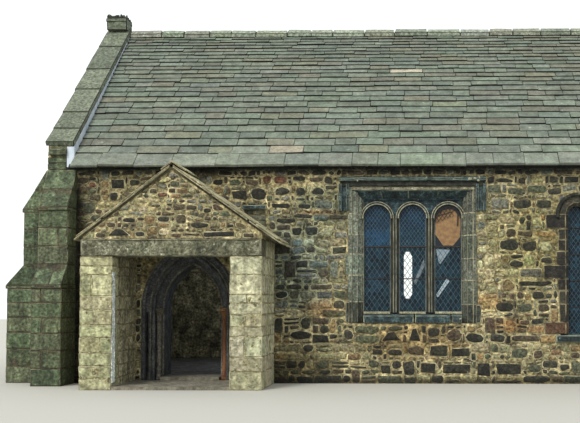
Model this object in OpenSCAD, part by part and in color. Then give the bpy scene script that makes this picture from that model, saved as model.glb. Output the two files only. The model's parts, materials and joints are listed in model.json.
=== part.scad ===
// Small stone chapel with a gabled south porch.
// The long axis lies along X, the porch stands on the south side towards -Y, and +Z is up.
// The origin is the middle of the nave's plan at ground level, under the floor.

/* [Nave walls] */
// Length of the nave between the outer faces of its gable walls
nave_length = 15900; // [13500:50:19000]
// Width of the nave between the outer faces of its side walls
nave_width = 7580; // [6600:20:8600]
// Height of the side walls at their outer face, where the slates bear
wall_height = 4270; // [4220:10:4800]
// Thickness of the side walls
side_wall_t = 850; // [700:10:1000]
// Thickness of the gable walls below the roof
gable_wall_t = 850; // [700:10:1000]
// Thickness of the nave floor slabs
floor_t = 90; // [60:5:140]

/* [Nave roof] */
// Pitch of the nave roof in degrees
roof_pitch = 42; // [38:0.5:46]
// Thickness of the stone slates and their battens, square to the slope
slate_t = 70; // [50:5:100]
// Overhang of the slates in front of the side walls
eave_out = 170; // [100:10:240]
// Width of each leg of the ridge stones, along the slope
ridge_leg = 230; // [160:10:320]
// Thickness of the ridge stones, square to the slope
ridge_t = 65; // [45:5:90]

/* [Gable parapets] */
// Thickness of the gable parapets above the slates
parapet_t = 500; // [420:10:600]
// Height of the coping's underside above the slates at the side wall's face
parapet_rise = 226; // [160:2:320]
// Height of the coping's underside above the slates at the ridge
parapet_peak = 34; // [20:2:160]
// Thickness of the coping slabs, square to the slope
coping_t = 100; // [70:5:140]
// Overhang of the coping beyond each face of the parapet
coping_lip = 65; // [30:5:90]
// Projection of the coping's foot in front of the side wall
coping_foot = 120; // [80:5:180]
// Width of the kneeler stones that carry the feet of the coping
kneeler_width = 325; // [240:5:400]
// Set-back of the kneelers from the gable wall's outer face
kneeler_inset = 40; // [20:5:80]
// Projection of the kneelers in front of the side wall
kneeler_out = 90; // [50:5:110]
// Height of the kneelers at the wall's face
kneeler_height = 210; // [150:5:260]
// Thickness of the lead flashing
lead_t = 8; // [5:1:12]
// Height of the upright lead at the foot of each parapet
lead_foot_height = 400; // [250:10:430]
// Length of the apex stones along the gable's top
apex_depth = 480; // [380:10:600]
// Height of the apex stones above the coping
apex_height = 290; // [200:10:380]
// Set-back of the apex stones from the coping's edges
apex_inset = 24; // [0:2:60]

/* [Buttresses] */
// Width of each buttress
buttress_width = 560; // [460:10:620]
// Projection of the upper stage
buttress_upper = 460; // [320:10:560]
// Projection of the lower stage
buttress_lower = 770; // [620:10:900]
// Projection of each drip edge
buttress_drip = 35; // [15:5:50]
// Depth of each drip edge
buttress_drip_h = 60; // [40:5:90]
// Wall between the top of the upper weathering and the slates
buttress_below = 140; // [80:10:300]
// Height of the upper weathering
upper_weathering = 770; // [600:10:900]
// Height of the upper stage, under the upper weathering
upper_stage = 1085; // [900:5:1250]
// Height of the lower weathering
lower_weathering = 395; // [300:5:480]

/* [Porch] */
// Wall between the south-west buttress and the porch
porch_gap = 602; // [460:2:900]
// Width of the porch between the outer faces of its side walls
porch_width = 3255; // [3000:5:3400]
// Projection of the porch in front of the nave
porch_depth = 1520; // [1200:10:2000]
// Thickness of the porch's side walls
porch_wall_t = 570; // [450:5:600]
// Height of the lintel's underside
lintel_bottom = 2375; // [2200:5:2480]
// Height of the lintel stone
lintel_height = 321; // [250:1:360]
// Depth of the lintel and the gable over it, from front to back
lintel_depth = 420; // [300:10:600]
// Drop from the top of the nave's side wall to the top of the porch's flags at their ridge
porch_ridge_below = 222; // [210:2:400]
// Height of the gable's west foot over the lintel
gable_foot_west = 13; // [5:1:100]
// Height of the gable's east foot over the lintel
gable_foot_east = 100; // [5:1:200]
// Thickness of the porch's roof flags, measured upright
flag_rise = 100; // [60:5:130]
// Overhang of the west flags beyond the side wall
flag_out_west = 112; // [60:2:200]
// Overhang of the east flags beyond the side wall
flag_out_east = 332; // [200:2:400]
// Overhang of the flags in front of the gable
verge_out = 70; // [30:5:120]
// Thickness of the porch floor's flags
porch_floor_t = 60; // [40:5:85]

/* [Doorway] */
// Width of the doorway between its jambs
door_width = 1130; // [950:10:1250]
// Height of the springing of the door arch
door_spring = 1445; // [1350:5:1600]
// Height of the arch's point above its springing
door_rise = 855; // [750:5:900]
// Width of the inner order of the doorway
inner_order = 150; // [110:5:180]
// Width of the middle order, over the shafts
middle_order = 170; // [150:5:190]
// Width of the outer order
outer_order = 60; // [40:5:80]
// Set-back of the inner order from the wall's face
inner_set = 260; // [220:5:320]
// Set-back of the middle order from the wall's face
middle_set = 90; // [60:5:120]
// Diameter of the nook shafts
shaft_d = 112; // [90:2:124]
// Height of the capitals
capital_height = 270; // [220:5:300]
// Height of the shafts' bases
shaft_base_height = 150; // [110:5:190]
// Thickness of the threshold stone
threshold_t = 115; // [95:5:140]

/* [Three-light window] */
// Wall between the porch and the window's jamb
window_gap = 1443; // [1100:1:1600]
// Width of each light
light_width = 515; // [440:5:540]
// Width of each mullion
mullion_width = 177; // [120:1:200]
// Width of the moulded jambs
jamb_width = 275; // [220:5:320]
// Height of the lights, from the sill to the crown of their heads
light_height = 2099; // [1800:1:2250]
// Height of the sill stones
sill_stone_h = 206; // [150:2:260]
// Wall between the label moulding and the slates
label_below = 290; // [200:5:400]
// Radius of each light's head
light_radius = 265; // [262:1:300]
// Height of the tracery above the lights' crowns
tracery_over = 111; // [80:1:140]
// Height of the splayed head above the tracery
head_height = 221; // [180:1:240]
// Depth of the window's frame in the wall
frame_depth = 450; // [400:10:520]
// Set-back of the mullions and tracery from the wall's face
tracery_set = 180; // [140:5:220]
// Thickness of the mullions and tracery
tracery_t = 200; // [160:5:230]
// Width of the flat band round the splay, on the wall's face
face_band = 60; // [30:5:90]
// Depth of the sunk spandrels
spandrel_sink = 35; // [20:5:50]
// Width of the moulding between each light and its spandrels
spandrel_rim = 55; // [40:5:70]
// Height of the label moulding over the window
label_height = 193; // [150:1:210]
// Projection of the label moulding
label_out = 100; // [70:5:140]
// Width of the label's upright ends
label_leg = 195; // [150:5:220]
// Length of the label's upright ends below it
label_drop = 479; // [300:1:560]
// Thickness of the glass and its lead
glass_t = 16; // [10:1:24]

/* [Lancet windows] */
// Wall between the three-light window and the first south lancet
lancet_gap = 1600; // [1200:10:2000]
// Distance of the second south lancet's middle from the inside of the east gable
lancet_end = 1700; // [1000:20:2000]
// Width of a lancet's glass
lancet_width = 330; // [260:5:400]
// Width of the dressed stones round a lancet
lancet_surround = 175; // [140:5:200]
// Depth of a lancet's dressed stones in the wall
lancet_depth = 300; // [260:10:340]
// Height of a lancet's glass below its springing
lancet_height = 2300; // [1900:10:2450]
// Wall between a south lancet's hood moulding and the slates
lancet_below = 605; // [400:5:800]
// Thickness of the hood moulding over a lancet
hood_t = 75; // [55:5:100]
// Projection of the hood moulding
hood_out = 70; // [50:5:100]
// Height of a lancet's sill stone
lancet_sill_h = 160; // [120:5:200]
// Spacing of the three lancets in the east gable
east_pitch = 1350; // [1200:10:1600]
// Height by which the middle east lancet and the west lancet stand above the others
gable_lancet_rise = 500; // [200:10:800]

/* [North windows] */
// Distance of the first north window's middle from the inside of the east gable
slit_start = 916; // [600:4:1400]
// Distance of the last north window's middle from the inside of the west gable
slit_end = 2484; // [1400:4:2800]
// Width of a north window's glass
slit_width = 230; // [180:5:300]
// Width of the dressed stones round a north window
slit_surround = 150; // [120:5:200]
// Height of a north window's glass below its springing
slit_height = 1173; // [900:1:1400]
// Wall between a north window's dressed stones and the slates
slit_below = 1205; // [900:5:1500]

/* [Roof timbers] */
// Number of roof trusses
truss_count = 4; // [2:1:6]
// Width of the tie beams and principal rafters
truss_width = 240; // [180:10:300]
// Depth of the tie beams
tie_depth = 280; // [220:10:320]
// Bearing of the tie beams on each side wall
tie_bearing = 450; // [350:10:500]
// Depth of the principal rafters, square to the slope
rafter_depth = 200; // [150:10:240]
// Depth of the purlins, square to the slope
purlin_depth = 160; // [120:5:180]
// Width of the purlins along the slope
purlin_width = 200; // [140:10:260]
// Width of the ridge beam
ridge_beam_width = 140; // [100:10:200]
// Width of the wall plates
plate_width = 300; // [220:10:340]

/* [Wall ledge] */
// Length of the ledge stone on the nave wall beside the porch
ledge_length = 470; // [350:5:560]
// Drop from the porch's ridge to the ledge stone's top
ledge_below = 618; // [500:1:800]
// Thickness of the ledge stone
ledge_t = 90; // [60:5:120]
// Projection of the ledge stone
ledge_out = 120; // [80:5:160]
// Clearance between the ledge stone and the porch's flags
ledge_gap = 10; // [5:1:30]

/* [Hidden] */
$fn = 64;

// Length by which a cutting shape passes the face that it cuts
pass = 10;

// Colours as the photograph shows them
rubble_colour = "#A08F6A";
ashlar_colour = "#8A7E5F";
dark_stone_colour = "#565645";
lintel_colour = "#7A6A4C";
slate_colour = "#7B7E6E";
coping_colour = "#6B6A52";
paving_colour = "#8E8A7C";
timber_colour = "#5A4632";
lead_colour = "#B9C3CC";
glass_colour = "#1F3A50";

// Faces of the nave
half_length = nave_length / 2;
half_width = nave_width / 2;
south_face = -half_width;
inner_x = half_length - gable_wall_t;
inner_y = half_width - side_wall_t;
parapet_x = half_length - parapet_t;

// Nave roof heights, each over the distance in from the side wall's outer face
roof_slope = tan(roof_pitch);
slate_rise = slate_t / cos(roof_pitch);
function roof_under(inward) = wall_height + inward * roof_slope;
function roof_top(inward) = roof_under(inward) + slate_rise;

// Gable parapet heights: the coping lies a little flatter than the slates
coping_start = roof_top(0) + parapet_rise;
coping_end = roof_top(half_width) + parapet_peak;
coping_slope = (coping_end - coping_start) / half_width;
coping_angle = atan(coping_slope);
coping_rise = coping_t / cos(coping_angle);
function coping_under(inward) = coping_start + inward * coping_slope;

// Roof timber heights below the slates
purlin_rise = purlin_depth / cos(roof_pitch);
rafter_rise = rafter_depth / cos(roof_pitch);
tie_top = wall_height + tie_depth;
truss_pitch = 2 * inner_x / truss_count;
function rafter_top(inward) = roof_under(inward) - purlin_rise;

// Buttress heights, each over the ground
buttress_top = wall_height - buttress_below;
buttress_shoulder = buttress_top - upper_weathering;
buttress_waist = buttress_shoulder - upper_stage;
buttress_knee = buttress_waist - lower_weathering;

// Porch faces and roof heights: both slopes start just over the lintel
porch_half = porch_width / 2;
porch_x = -half_length + buttress_width + porch_gap + porch_half;
porch_front = south_face - porch_depth;
lintel_top = lintel_bottom + lintel_height;
porch_ridge_height = wall_height - porch_ridge_below;
gable_peak = porch_ridge_height - flag_rise;
west_slope = (gable_peak - lintel_top - gable_foot_west) / porch_half;
east_slope = (gable_peak - lintel_top - gable_foot_east) / porch_half;
function west_under(from_middle) = gable_peak - from_middle * west_slope;
function east_under(from_middle) = gable_peak - from_middle * east_slope;
porch_ridge_leg = 190;
porch_ridge_t = 45;
ledge_top = porch_ridge_height - ledge_below;
ledge_start = (ledge_below + ledge_t) / east_slope + ledge_gap;

// Door arch: its two arcs are struck from points beyond the middle line
door_half = door_width / 2;
door_shift = (door_rise * door_rise - door_half * door_half) / (2 * door_half);
door_radius = door_half + door_shift;
door_orders = inner_order + middle_order + outer_order;
door_hole = door_half + door_orders;
door_head = door_spring + sqrt(pow(door_radius + door_orders, 2) - pow(door_shift, 2));
abacus_t = 70;
abacus_side = min(middle_order, inner_set - middle_set);
shaft_x = door_half + inner_order + middle_order / 2;
shaft_y = inner_set - abacus_side / 2;
// The arch is large, so its arcs take more sides than the small rounds
arch_fn = 256;
shaft_base_d = shaft_d + 40;
neck_d = shaft_d + 16;
neck_t = 22;

// Three-light window places
lights_half = (3 * light_width + 2 * mullion_width) / 2;
window_half = lights_half + jamb_width;
window_x = porch_x + porch_half + window_gap + window_half;
head_top = wall_height - label_below - label_height;
tracery_top = head_top - head_height;
light_crown = tracery_top - tracery_over;
window_sill_h = light_crown - light_height;
window_bottom = window_sill_h - sill_stone_h;
light_pitch = light_width + mullion_width;
light_centre = light_crown - light_radius;
glass_set = tracery_set + tracery_t / 2;
sill_nose = 20;
sill_drop = 60;
label_half = window_half + label_leg;
spandrel_band = 26;

// Lancet places
lancet_half = lancet_width / 2;
lancet_outer = lancet_half + lancet_surround;
lancet_spring = wall_height - lancet_below - hood_t - lancet_outer;
lancet_foot = lancet_spring - lancet_height;
lancet_places = [window_x + window_half + lancet_gap + lancet_outer, inner_x - lancet_end];
lancet_glass_set = 200;
lancet_chamfer = 70;
hood_drop = 60;
lancet_sill_out = 60;
slit_half = slit_width / 2;
slit_outer = slit_half + slit_surround;
slit_spring = wall_height - slit_below - slit_outer;
slit_foot = slit_spring - slit_height;
slit_count = 4;
slit_pitch = (2 * inner_x - slit_start - slit_end) / (slit_count - 1);

// Extrudes an outline drawn in Y and Z along X, from x0 to x1
module along_x(x0, x1) {
    translate([x0, 0, 0])
        rotate([90, 0, 90])
            linear_extrude(x1 - x0)
                children();
}

// Extrudes an outline drawn in X and Z along Y, from y0 to y1
module along_y(y0, y1) {
    translate([0, y1, 0])
        rotate([90, 0, 0])
            linear_extrude(y1 - y0)
                children();
}

// Puts a shape at both ends of the nave
module both_ends() {
    children();
    mirror([1, 0, 0]) children();
}

// Puts a shape on both sides of the nave
module both_sides() {
    children();
    mirror([0, 1, 0]) children();
}

// Puts a shape left and right of its own middle line
module both_hands() {
    children();
    mirror([1, 0, 0]) children();
}

// Wall frames: X across the wall, Y into it from its outer face, Z up
module on_south(x) {
    translate([x, south_face, 0]) children();
}

module on_north(x) {
    translate([x, half_width, 0]) rotate([0, 0, 180]) children();
}

module on_east(y, raise = 0) {
    translate([half_length, y, raise]) rotate([0, 0, 90]) children();
}

module on_west(y, raise = 0) {
    translate([-half_length, y, raise]) rotate([0, 0, -90]) children();
}

// Puts a shape at each lancet of one wall
module at_south_lancets() {
    for (x = lancet_places) on_south(x) children();
}

module at_east_lancets() {
    for (side = [-1:1]) on_east(side * east_pitch, side == 0 ? gable_lancet_rise : 0) children();
}

module at_west_lancet() {
    on_west(0, gable_lancet_rise) children();
}

// Puts a shape at every lancet
module at_lancets() {
    at_south_lancets() children();
    at_east_lancets() children();
    at_west_lancet() children();
}

// Puts a shape at every north window
module at_slits() {
    for (i = [0:slit_count - 1])
        on_north(inner_x - slit_start - i * slit_pitch) children();
}

// Outline of a round-headed window
module round_headed(half, foot, spring) {
    translate([-half, foot]) square([2 * half, spring - foot]);
    translate([0, spring]) circle(r = half);
}

// Outline of the pointed arch, grown by a width all round
module pointed_arch(grow) {
    intersection() {
        translate([door_shift, 0]) circle(r = door_radius + grow, $fn = arch_fn);
        translate([-door_shift, 0]) circle(r = door_radius + grow, $fn = arch_fn);
        translate([-door_hole - pass, 0]) square([2 * (door_hole + pass), 2 * door_hole + door_rise]);
    }
}

// Outline of the doorway below its springing and under its arch, grown by a width
module doorway(grow) {
    translate([-door_half - grow, -pass]) square([2 * (door_half + grow), door_spring + pass]);
    translate([0, door_spring]) pointed_arch(grow);
}

// A plain length of the south wall
module south_wall_length(x0, x1, z0, z1) {
    color(rubble_colour)
        translate([x0, south_face, z0])
            cube([x1 - x0, side_wall_t, z1 - z0]);
}

module nave_floor() {
    color(paving_colour)
        translate([-inner_x, -inner_y, 0])
            cube([2 * inner_x, 2 * inner_y, floor_t]);
}

module porch_floor() {
    color(paving_colour)
        translate([porch_x - porch_half + porch_wall_t, porch_front, 0])
            cube([porch_width - 2 * porch_wall_t, porch_depth, porch_floor_t]);
}

// The threshold fills the doorway's foot between its jambs
module threshold() {
    color(paving_colour)
        on_south(porch_x)
            translate([-door_half, 0, 0])
                cube([door_width, side_wall_t, threshold_t]);
}

module south_wall_west() {
    south_wall_length(-inner_x, porch_x - door_hole, 0, wall_height);
}

// The wall over the doorway rests on the outer order's arch
module south_wall_over_door() {
    color(rubble_colour)
        on_south(porch_x)
            along_y(0, side_wall_t)
                difference() {
                    translate([-door_hole, door_spring])
                        square([2 * door_hole, wall_height - door_spring]);
                    doorway(door_orders);
                }
}

module south_wall_middle() {
    south_wall_length(porch_x + door_hole, window_x - window_half, 0, wall_height);
}

module south_wall_under_window() {
    south_wall_length(window_x - window_half, window_x + window_half, 0, window_bottom);
}

module south_wall_over_window() {
    south_wall_length(window_x - window_half, window_x + window_half, head_top, wall_height);
}

// Square hole through a wall for the dressed stones of a round-headed window
module window_hole(outer, bottom, spring, depth) {
    along_y(-pass, depth + pass)
        translate([-outer, bottom])
            square([2 * outer, spring + outer - bottom]);
}

module lancet_hole(depth) {
    window_hole(lancet_outer, lancet_foot - lancet_sill_h, lancet_spring, depth);
}

module south_wall_east() {
    difference() {
        south_wall_length(window_x + window_half, inner_x, 0, wall_height);
        at_south_lancets() lancet_hole(side_wall_t);
    }
}

module north_wall() {
    color(rubble_colour)
        difference() {
            translate([-inner_x, inner_y, 0])
                cube([2 * inner_x, side_wall_t, wall_height]);
            at_slits()
                window_hole(slit_outer, slit_foot - slit_surround, slit_spring, side_wall_t);
        }
}

// The straight part of a gable wall at the west end, up to the springing of the lancets
module gable_wall() {
    translate([-half_length, -half_width, 0])
        cube([gable_wall_t, 2 * half_width, lancet_spring]);
}

// The gable above it: a thick leaf up to the slates and a parapet above them
module gable_top() {
    along_x(-half_length, -parapet_x)
        polygon([
            [-half_width, lancet_spring], [half_width, lancet_spring], [half_width, coping_under(0)],
            [0, coping_under(half_width)], [-half_width, coping_under(0)]
        ]);
    along_x(-parapet_x, -inner_x)
        polygon([
            [-half_width, lancet_spring], [half_width, lancet_spring], [half_width, roof_under(0)],
            [0, roof_under(half_width)], [-half_width, roof_under(0)]
        ]);
}

module west_gable_wall() {
    color(rubble_colour)
        difference() {
            gable_wall();
            at_west_lancet() lancet_hole(gable_wall_t);
        }
}

module west_gable_top() {
    color(rubble_colour)
        difference() {
            gable_top();
            at_west_lancet() lancet_hole(gable_wall_t);
        }
}

module east_gable_wall() {
    color(rubble_colour)
        difference() {
            mirror([1, 0, 0]) gable_wall();
            at_east_lancets() lancet_hole(gable_wall_t);
        }
}

module east_gable_top() {
    color(rubble_colour)
        difference() {
            mirror([1, 0, 0]) gable_top();
            at_east_lancets() lancet_hole(gable_wall_t);
        }
}

// One slope of stone slates between the parapets, on the south side
module roof_slope_slab() {
    along_x(-parapet_x, parapet_x)
        translate([south_face, 0])
            polygon([
                [-eave_out, roof_top(-eave_out)], [half_width, roof_top(half_width)],
                [half_width, roof_under(half_width)],
                [slate_t * sin(roof_pitch) - eave_out, roof_top(-eave_out) - slate_t * cos(roof_pitch)]
            ]);
}

module nave_roof_south() {
    color(slate_colour) roof_slope_slab();
}

module nave_roof_north() {
    color(slate_colour) mirror([0, 1, 0]) roof_slope_slab();
}

// A saddle-shaped row of ridge stones, drawn over a ridge at the origin
module saddle(leg, thickness, left_pitch, right_pitch) {
    polygon([
        [0, 0], [leg * cos(right_pitch), -leg * sin(right_pitch)],
        [leg * cos(right_pitch), -leg * sin(right_pitch) + thickness / cos(right_pitch)],
        [0, thickness / cos(min(left_pitch, right_pitch))],
        [-leg * cos(left_pitch), -leg * sin(left_pitch) + thickness / cos(left_pitch)],
        [-leg * cos(left_pitch), -leg * sin(left_pitch)]
    ]);
}

module ridge_stones() {
    reach = parapet_x - lead_t;
    color(slate_colour)
        along_x(-reach, reach)
            translate([0, roof_top(half_width)])
                saddle(ridge_leg, ridge_t, roof_pitch, roof_pitch);
}

// The coping slabs over the west gable, from foot to foot
module gable_coping() {
    foot_z = coping_under(-coping_foot);
    along_x(-half_length - coping_lip, -parapet_x + lead_t)
        polygon([
            [-half_width - coping_foot, foot_z], [-half_width - coping_foot, foot_z + coping_rise],
            [0, coping_under(half_width) + coping_rise],
            [half_width + coping_foot, foot_z + coping_rise], [half_width + coping_foot, foot_z],
            [0, coping_under(half_width)]
        ]);
}

module coping_west() {
    color(coping_colour) gable_coping();
}

module coping_east() {
    color(coping_colour) mirror([1, 0, 0]) gable_coping();
}

// One kneeler: a corbelled block under the coping's foot
module kneeler() {
    corbel = kneeler_out / 2;
    x0 = -half_length + kneeler_inset;
    along_x(x0, x0 + kneeler_width)
        translate([south_face, 0])
            polygon([
                [0, coping_under(0) - kneeler_height], [0, coping_under(0)],
                [-kneeler_out, coping_under(-kneeler_out)],
                [-kneeler_out, coping_under(0) - kneeler_height + corbel]
            ]);
}

module kneelers() {
    color(ashlar_colour) both_ends() both_sides() kneeler();
}

// Apex stones: a block across the gable's point, with a saddle cut to the coping
module apex_stone() {
    half = apex_depth / 2;
    crown = coping_under(half_width) + coping_rise;
    shoulder = 60;
    along_x(-half_length - coping_lip + apex_inset, -parapet_x + lead_t - apex_inset)
        polygon([
            [0, crown], [half, crown - half * coping_slope], [half, crown + apex_height - shoulder],
            [half - shoulder, crown + apex_height], [shoulder - half, crown + apex_height],
            [-half, crown + apex_height - shoulder], [-half, crown - half * coping_slope]
        ]);
}

module apex_stones() {
    color(coping_colour) both_ends() apex_stone();
}

// Lead up the inner face of the parapet, and an upright strip at its foot
module lead_flashing() {
    along_x(-parapet_x, -parapet_x + lead_t)
        translate([south_face, 0])
            polygon([
                [0, roof_top(0)], [0, coping_under(0)],
                [half_width, coping_under(half_width)], [half_width, roof_top(half_width)]
            ]);
    strip_x = -half_length + kneeler_inset + kneeler_width;
    translate([strip_x, south_face - lead_t, coping_under(-lead_t) - lead_foot_height])
        cube([-parapet_x + lead_t - strip_x, lead_t, lead_foot_height]);
}

module lead_flashings() {
    color(lead_colour) both_ends() both_sides() lead_flashing();
}

// Side view of one buttress, standing out from the wall towards -X
module buttress_profile() {
    polygon([
        [0, 0], [0, buttress_top],
        [-buttress_upper - buttress_drip, buttress_shoulder],
        [-buttress_upper - buttress_drip, buttress_shoulder - buttress_drip_h],
        [-buttress_upper, buttress_shoulder - buttress_drip_h], [-buttress_upper, buttress_waist],
        [-buttress_lower - buttress_drip, buttress_knee],
        [-buttress_lower - buttress_drip, buttress_knee - buttress_drip_h],
        [-buttress_lower, buttress_knee - buttress_drip_h], [-buttress_lower, 0]
    ]);
}

// The pair of buttresses at the south-west corner, one facing south and one facing west
module corner_buttresses() {
    along_x(-half_length, -half_length + buttress_width)
        translate([south_face, 0])
            buttress_profile();
    along_y(south_face, south_face + buttress_width)
        translate([-half_length, 0])
            buttress_profile();
}

module buttresses_west() {
    color(ashlar_colour) both_sides() corner_buttresses();
}

module buttresses_east() {
    color(ashlar_colour) mirror([1, 0, 0]) both_sides() corner_buttresses();
}

// A wall plate, cut to the roof's slope, on top of the side wall
module wall_plate() {
    along_x(-inner_x, inner_x)
        translate([south_face, wall_height])
            polygon([[0, 0], [plate_width, 0], [plate_width, plate_width * roof_slope]]);
}

module wall_plates() {
    color(timber_colour) both_sides() wall_plate();
}

// Puts a shape at the middle of each truss
module at_trusses() {
    for (i = [0:truss_count - 1])
        translate([-inner_x + (i + 0.5) * truss_pitch, 0, 0]) children();
}

module tie_beams() {
    reach = inner_y + tie_bearing;
    color(timber_colour)
        at_trusses()
            translate([-truss_width / 2, -reach, wall_height])
                cube([truss_width, 2 * reach, tie_depth]);
}

// A principal rafter, from the tie beam's top up to the ridge
module principal_rafter() {
    foot = (tie_top - rafter_top(0)) / roof_slope;
    heel = (tie_top - rafter_top(0) + rafter_rise) / roof_slope;
    along_x(-truss_width / 2, truss_width / 2)
        translate([south_face, 0])
            polygon([
                [foot, tie_top], [half_width, rafter_top(half_width)],
                [half_width, rafter_top(half_width) - rafter_rise], [heel, tie_top]
            ]);
}

module principal_rafters_south() {
    color(timber_colour) at_trusses() principal_rafter();
}

module principal_rafters_north() {
    color(timber_colour) mirror([0, 1, 0]) at_trusses() principal_rafter();
}

// A purlin on the backs of the principal rafters, a share of the way up the slope
module purlin(share) {
    middle = share * half_width;
    along_x(-inner_x, inner_x)
        translate([south_face + middle, roof_under(middle)])
            rotate(roof_pitch)
                translate([-purlin_width / 2, -purlin_depth])
                    square([purlin_width, purlin_depth]);
}

// The ridge beam, in the notch over the rafters and cut to the slates above
module ridge_beam() {
    half = ridge_beam_width / 2;
    along_x(-inner_x, inner_x)
        polygon([
            [0, rafter_top(half_width)], [half, rafter_top(half_width - half)],
            [half, roof_under(half_width - half)], [0, roof_under(half_width)],
            [-half, roof_under(half_width - half)], [-half, rafter_top(half_width - half)]
        ]);
}

module purlins() {
    color(timber_colour) {
        both_sides() {
            purlin(0.36);
            purlin(0.68);
        }
        ridge_beam();
    }
}

// The porch's west side wall, with its top cut to the roof and a seat for the lintel
module porch_side_wall(side, slope, top_at_face) {
    outer = side * porch_half;
    inner = side * (porch_half - porch_wall_t);
    color(ashlar_colour)
        difference() {
            along_y(porch_front, south_face)
                translate([porch_x, 0])
                    polygon([
                        [outer, 0], [outer, top_at_face],
                        [inner, top_at_face + porch_wall_t * slope], [inner, 0]
                    ]);
            translate([porch_x - porch_width, porch_front - pass, lintel_bottom])
                cube([2 * porch_width, lintel_depth + pass, porch_ridge_height]);
        }
}

module porch_wall_west() {
    porch_side_wall(-1, west_slope, west_under(porch_half));
}

module porch_wall_east() {
    porch_side_wall(1, east_slope, east_under(porch_half));
}

// One long stone across the whole front of the porch
module porch_lintel() {
    color(lintel_colour)
        translate([porch_x - porch_half, porch_front, lintel_bottom])
            cube([porch_width, lintel_depth, lintel_height]);
}

module porch_gable() {
    color(rubble_colour)
        along_y(porch_front, porch_front + lintel_depth)
            translate([porch_x, 0])
                polygon([
                    [-porch_half, lintel_top], [-porch_half, west_under(porch_half)], [0, gable_peak],
                    [porch_half, east_under(porch_half)], [porch_half, lintel_top]
                ]);
}

// Flags of the porch's west slope
module porch_roof_west() {
    foot = porch_half + flag_out_west;
    color(slate_colour)
        along_y(porch_front - verge_out, south_face)
            translate([porch_x, 0])
                polygon([
                    [-foot, west_under(foot)], [-foot, west_under(foot) + flag_rise],
                    [0, porch_ridge_height], [0, gable_peak]
                ]);
}

// Flags of the porch's east slope
module porch_roof_east() {
    foot = porch_half + flag_out_east;
    color(slate_colour)
        along_y(porch_front - verge_out, south_face)
            translate([porch_x, 0])
                polygon([
                    [foot, east_under(foot)], [foot, east_under(foot) + flag_rise],
                    [0, porch_ridge_height], [0, gable_peak]
                ]);
}

module porch_ridge() {
    color(slate_colour)
        along_y(porch_front - verge_out, south_face)
            translate([porch_x, porch_ridge_height])
                saddle(porch_ridge_leg, porch_ridge_t, atan(west_slope), atan(east_slope));
}

// Plan of the stepped east jamb: inner, middle and outer orders
module jamb_plan() {
    polygon([
        [door_half, inner_set], [door_half + inner_order, inner_set],
        [door_half + inner_order + middle_order, inner_set],
        [door_half + inner_order + middle_order, 0], [door_hole, 0],
        [door_hole, side_wall_t], [door_half, side_wall_t]
    ]);
}

module door_jambs() {
    color(ashlar_colour)
        on_south(porch_x)
            both_hands()
                linear_extrude(door_spring)
                    jamb_plan();
}

// One order of the arch: a ring between two growths, from its set-back to the wall's inner face
module arch_order(inside, outside, set_back) {
    along_y(set_back, side_wall_t)
        translate([0, door_spring])
            difference() {
                pointed_arch(outside);
                pointed_arch(inside);
            }
}

module door_arch() {
    color(ashlar_colour)
        on_south(porch_x) {
            arch_order(0, inner_order, inner_set);
            arch_order(inner_order, inner_order + middle_order, middle_set);
            arch_order(inner_order + middle_order, door_orders, 0);
        }
}

// Puts a shape at the centre of each nook shaft
module at_shafts() {
    on_south(porch_x)
        both_hands()
            translate([shaft_x, shaft_y, 0])
                children();
}

// A shaft on its moulded base, up to the capital's neck
module door_shafts() {
    color(ashlar_colour)
        at_shafts()
            rotate_extrude()
                polygon([
                    [0, 0], [shaft_base_d / 2, 0], [shaft_base_d / 2, shaft_base_height * 0.6],
                    [shaft_d / 2, shaft_base_height], [shaft_d / 2, door_spring - capital_height],
                    [0, door_spring - capital_height]
                ]);
}

// A bell capital under a square abacus
module door_capitals() {
    bell_foot = door_spring - capital_height;
    bell_top = door_spring - abacus_t;
    color(ashlar_colour)
        at_shafts() {
            rotate_extrude()
                polygon([
                    [0, bell_foot], [neck_d / 2, bell_foot], [neck_d / 2, bell_foot + neck_t],
                    [shaft_d / 2, bell_foot + 2 * neck_t], [shaft_d / 2, bell_top - 2 * abacus_t],
                    [abacus_side / 2, bell_top], [0, bell_top]
                ]);
            translate([-abacus_side / 2, -abacus_side / 2, bell_top])
                cube([abacus_side, abacus_side, abacus_t]);
        }
}

// Sill stones of the three-light window, with a weathered top
module window_sill() {
    color(dark_stone_colour)
        on_south(window_x)
            along_x(-lights_half, lights_half)
                polygon([
                    [-sill_nose, window_bottom], [-sill_nose, window_sill_h - sill_drop],
                    [tracery_set, window_sill_h], [frame_depth, window_sill_h], [frame_depth, window_bottom]
                ]);
}

// Plan of the window's west jamb: a flat band, a splay and the rebate for the lights
module window_jamb_plan() {
    polygon([
        [-window_half, 0], [-window_half + face_band, 0], [-lights_half - spandrel_band, tracery_set],
        [-lights_half, tracery_set], [-lights_half, tracery_set + tracery_t],
        [-lights_half - spandrel_band, frame_depth], [-window_half, frame_depth]
    ]);
}

module window_jambs() {
    color(ashlar_colour)
        on_south(window_x)
            both_hands()
                translate([0, 0, window_bottom])
                    linear_extrude(tracery_top - window_bottom)
                        window_jamb_plan();
}

// Plan of a mullion, with chamfered edges
module mullion_plan() {
    half = mullion_width / 2;
    nose = half / 3;
    polygon([
        [-nose, tracery_set], [nose, tracery_set], [half, tracery_set + half],
        [half, tracery_set + tracery_t - half], [nose, tracery_set + tracery_t],
        [-nose, tracery_set + tracery_t], [-half, tracery_set + tracery_t - half],
        [-half, tracery_set + half]
    ]);
}

module window_mullions() {
    color(ashlar_colour)
        on_south(window_x)
            both_hands()
                translate([light_pitch / 2, 0, window_sill_h])
                    linear_extrude(light_centre - window_sill_h)
                        mullion_plan();
}

// Outline of one light's round head
module light_head(grow) {
    circle(r = light_radius + grow);
}

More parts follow.
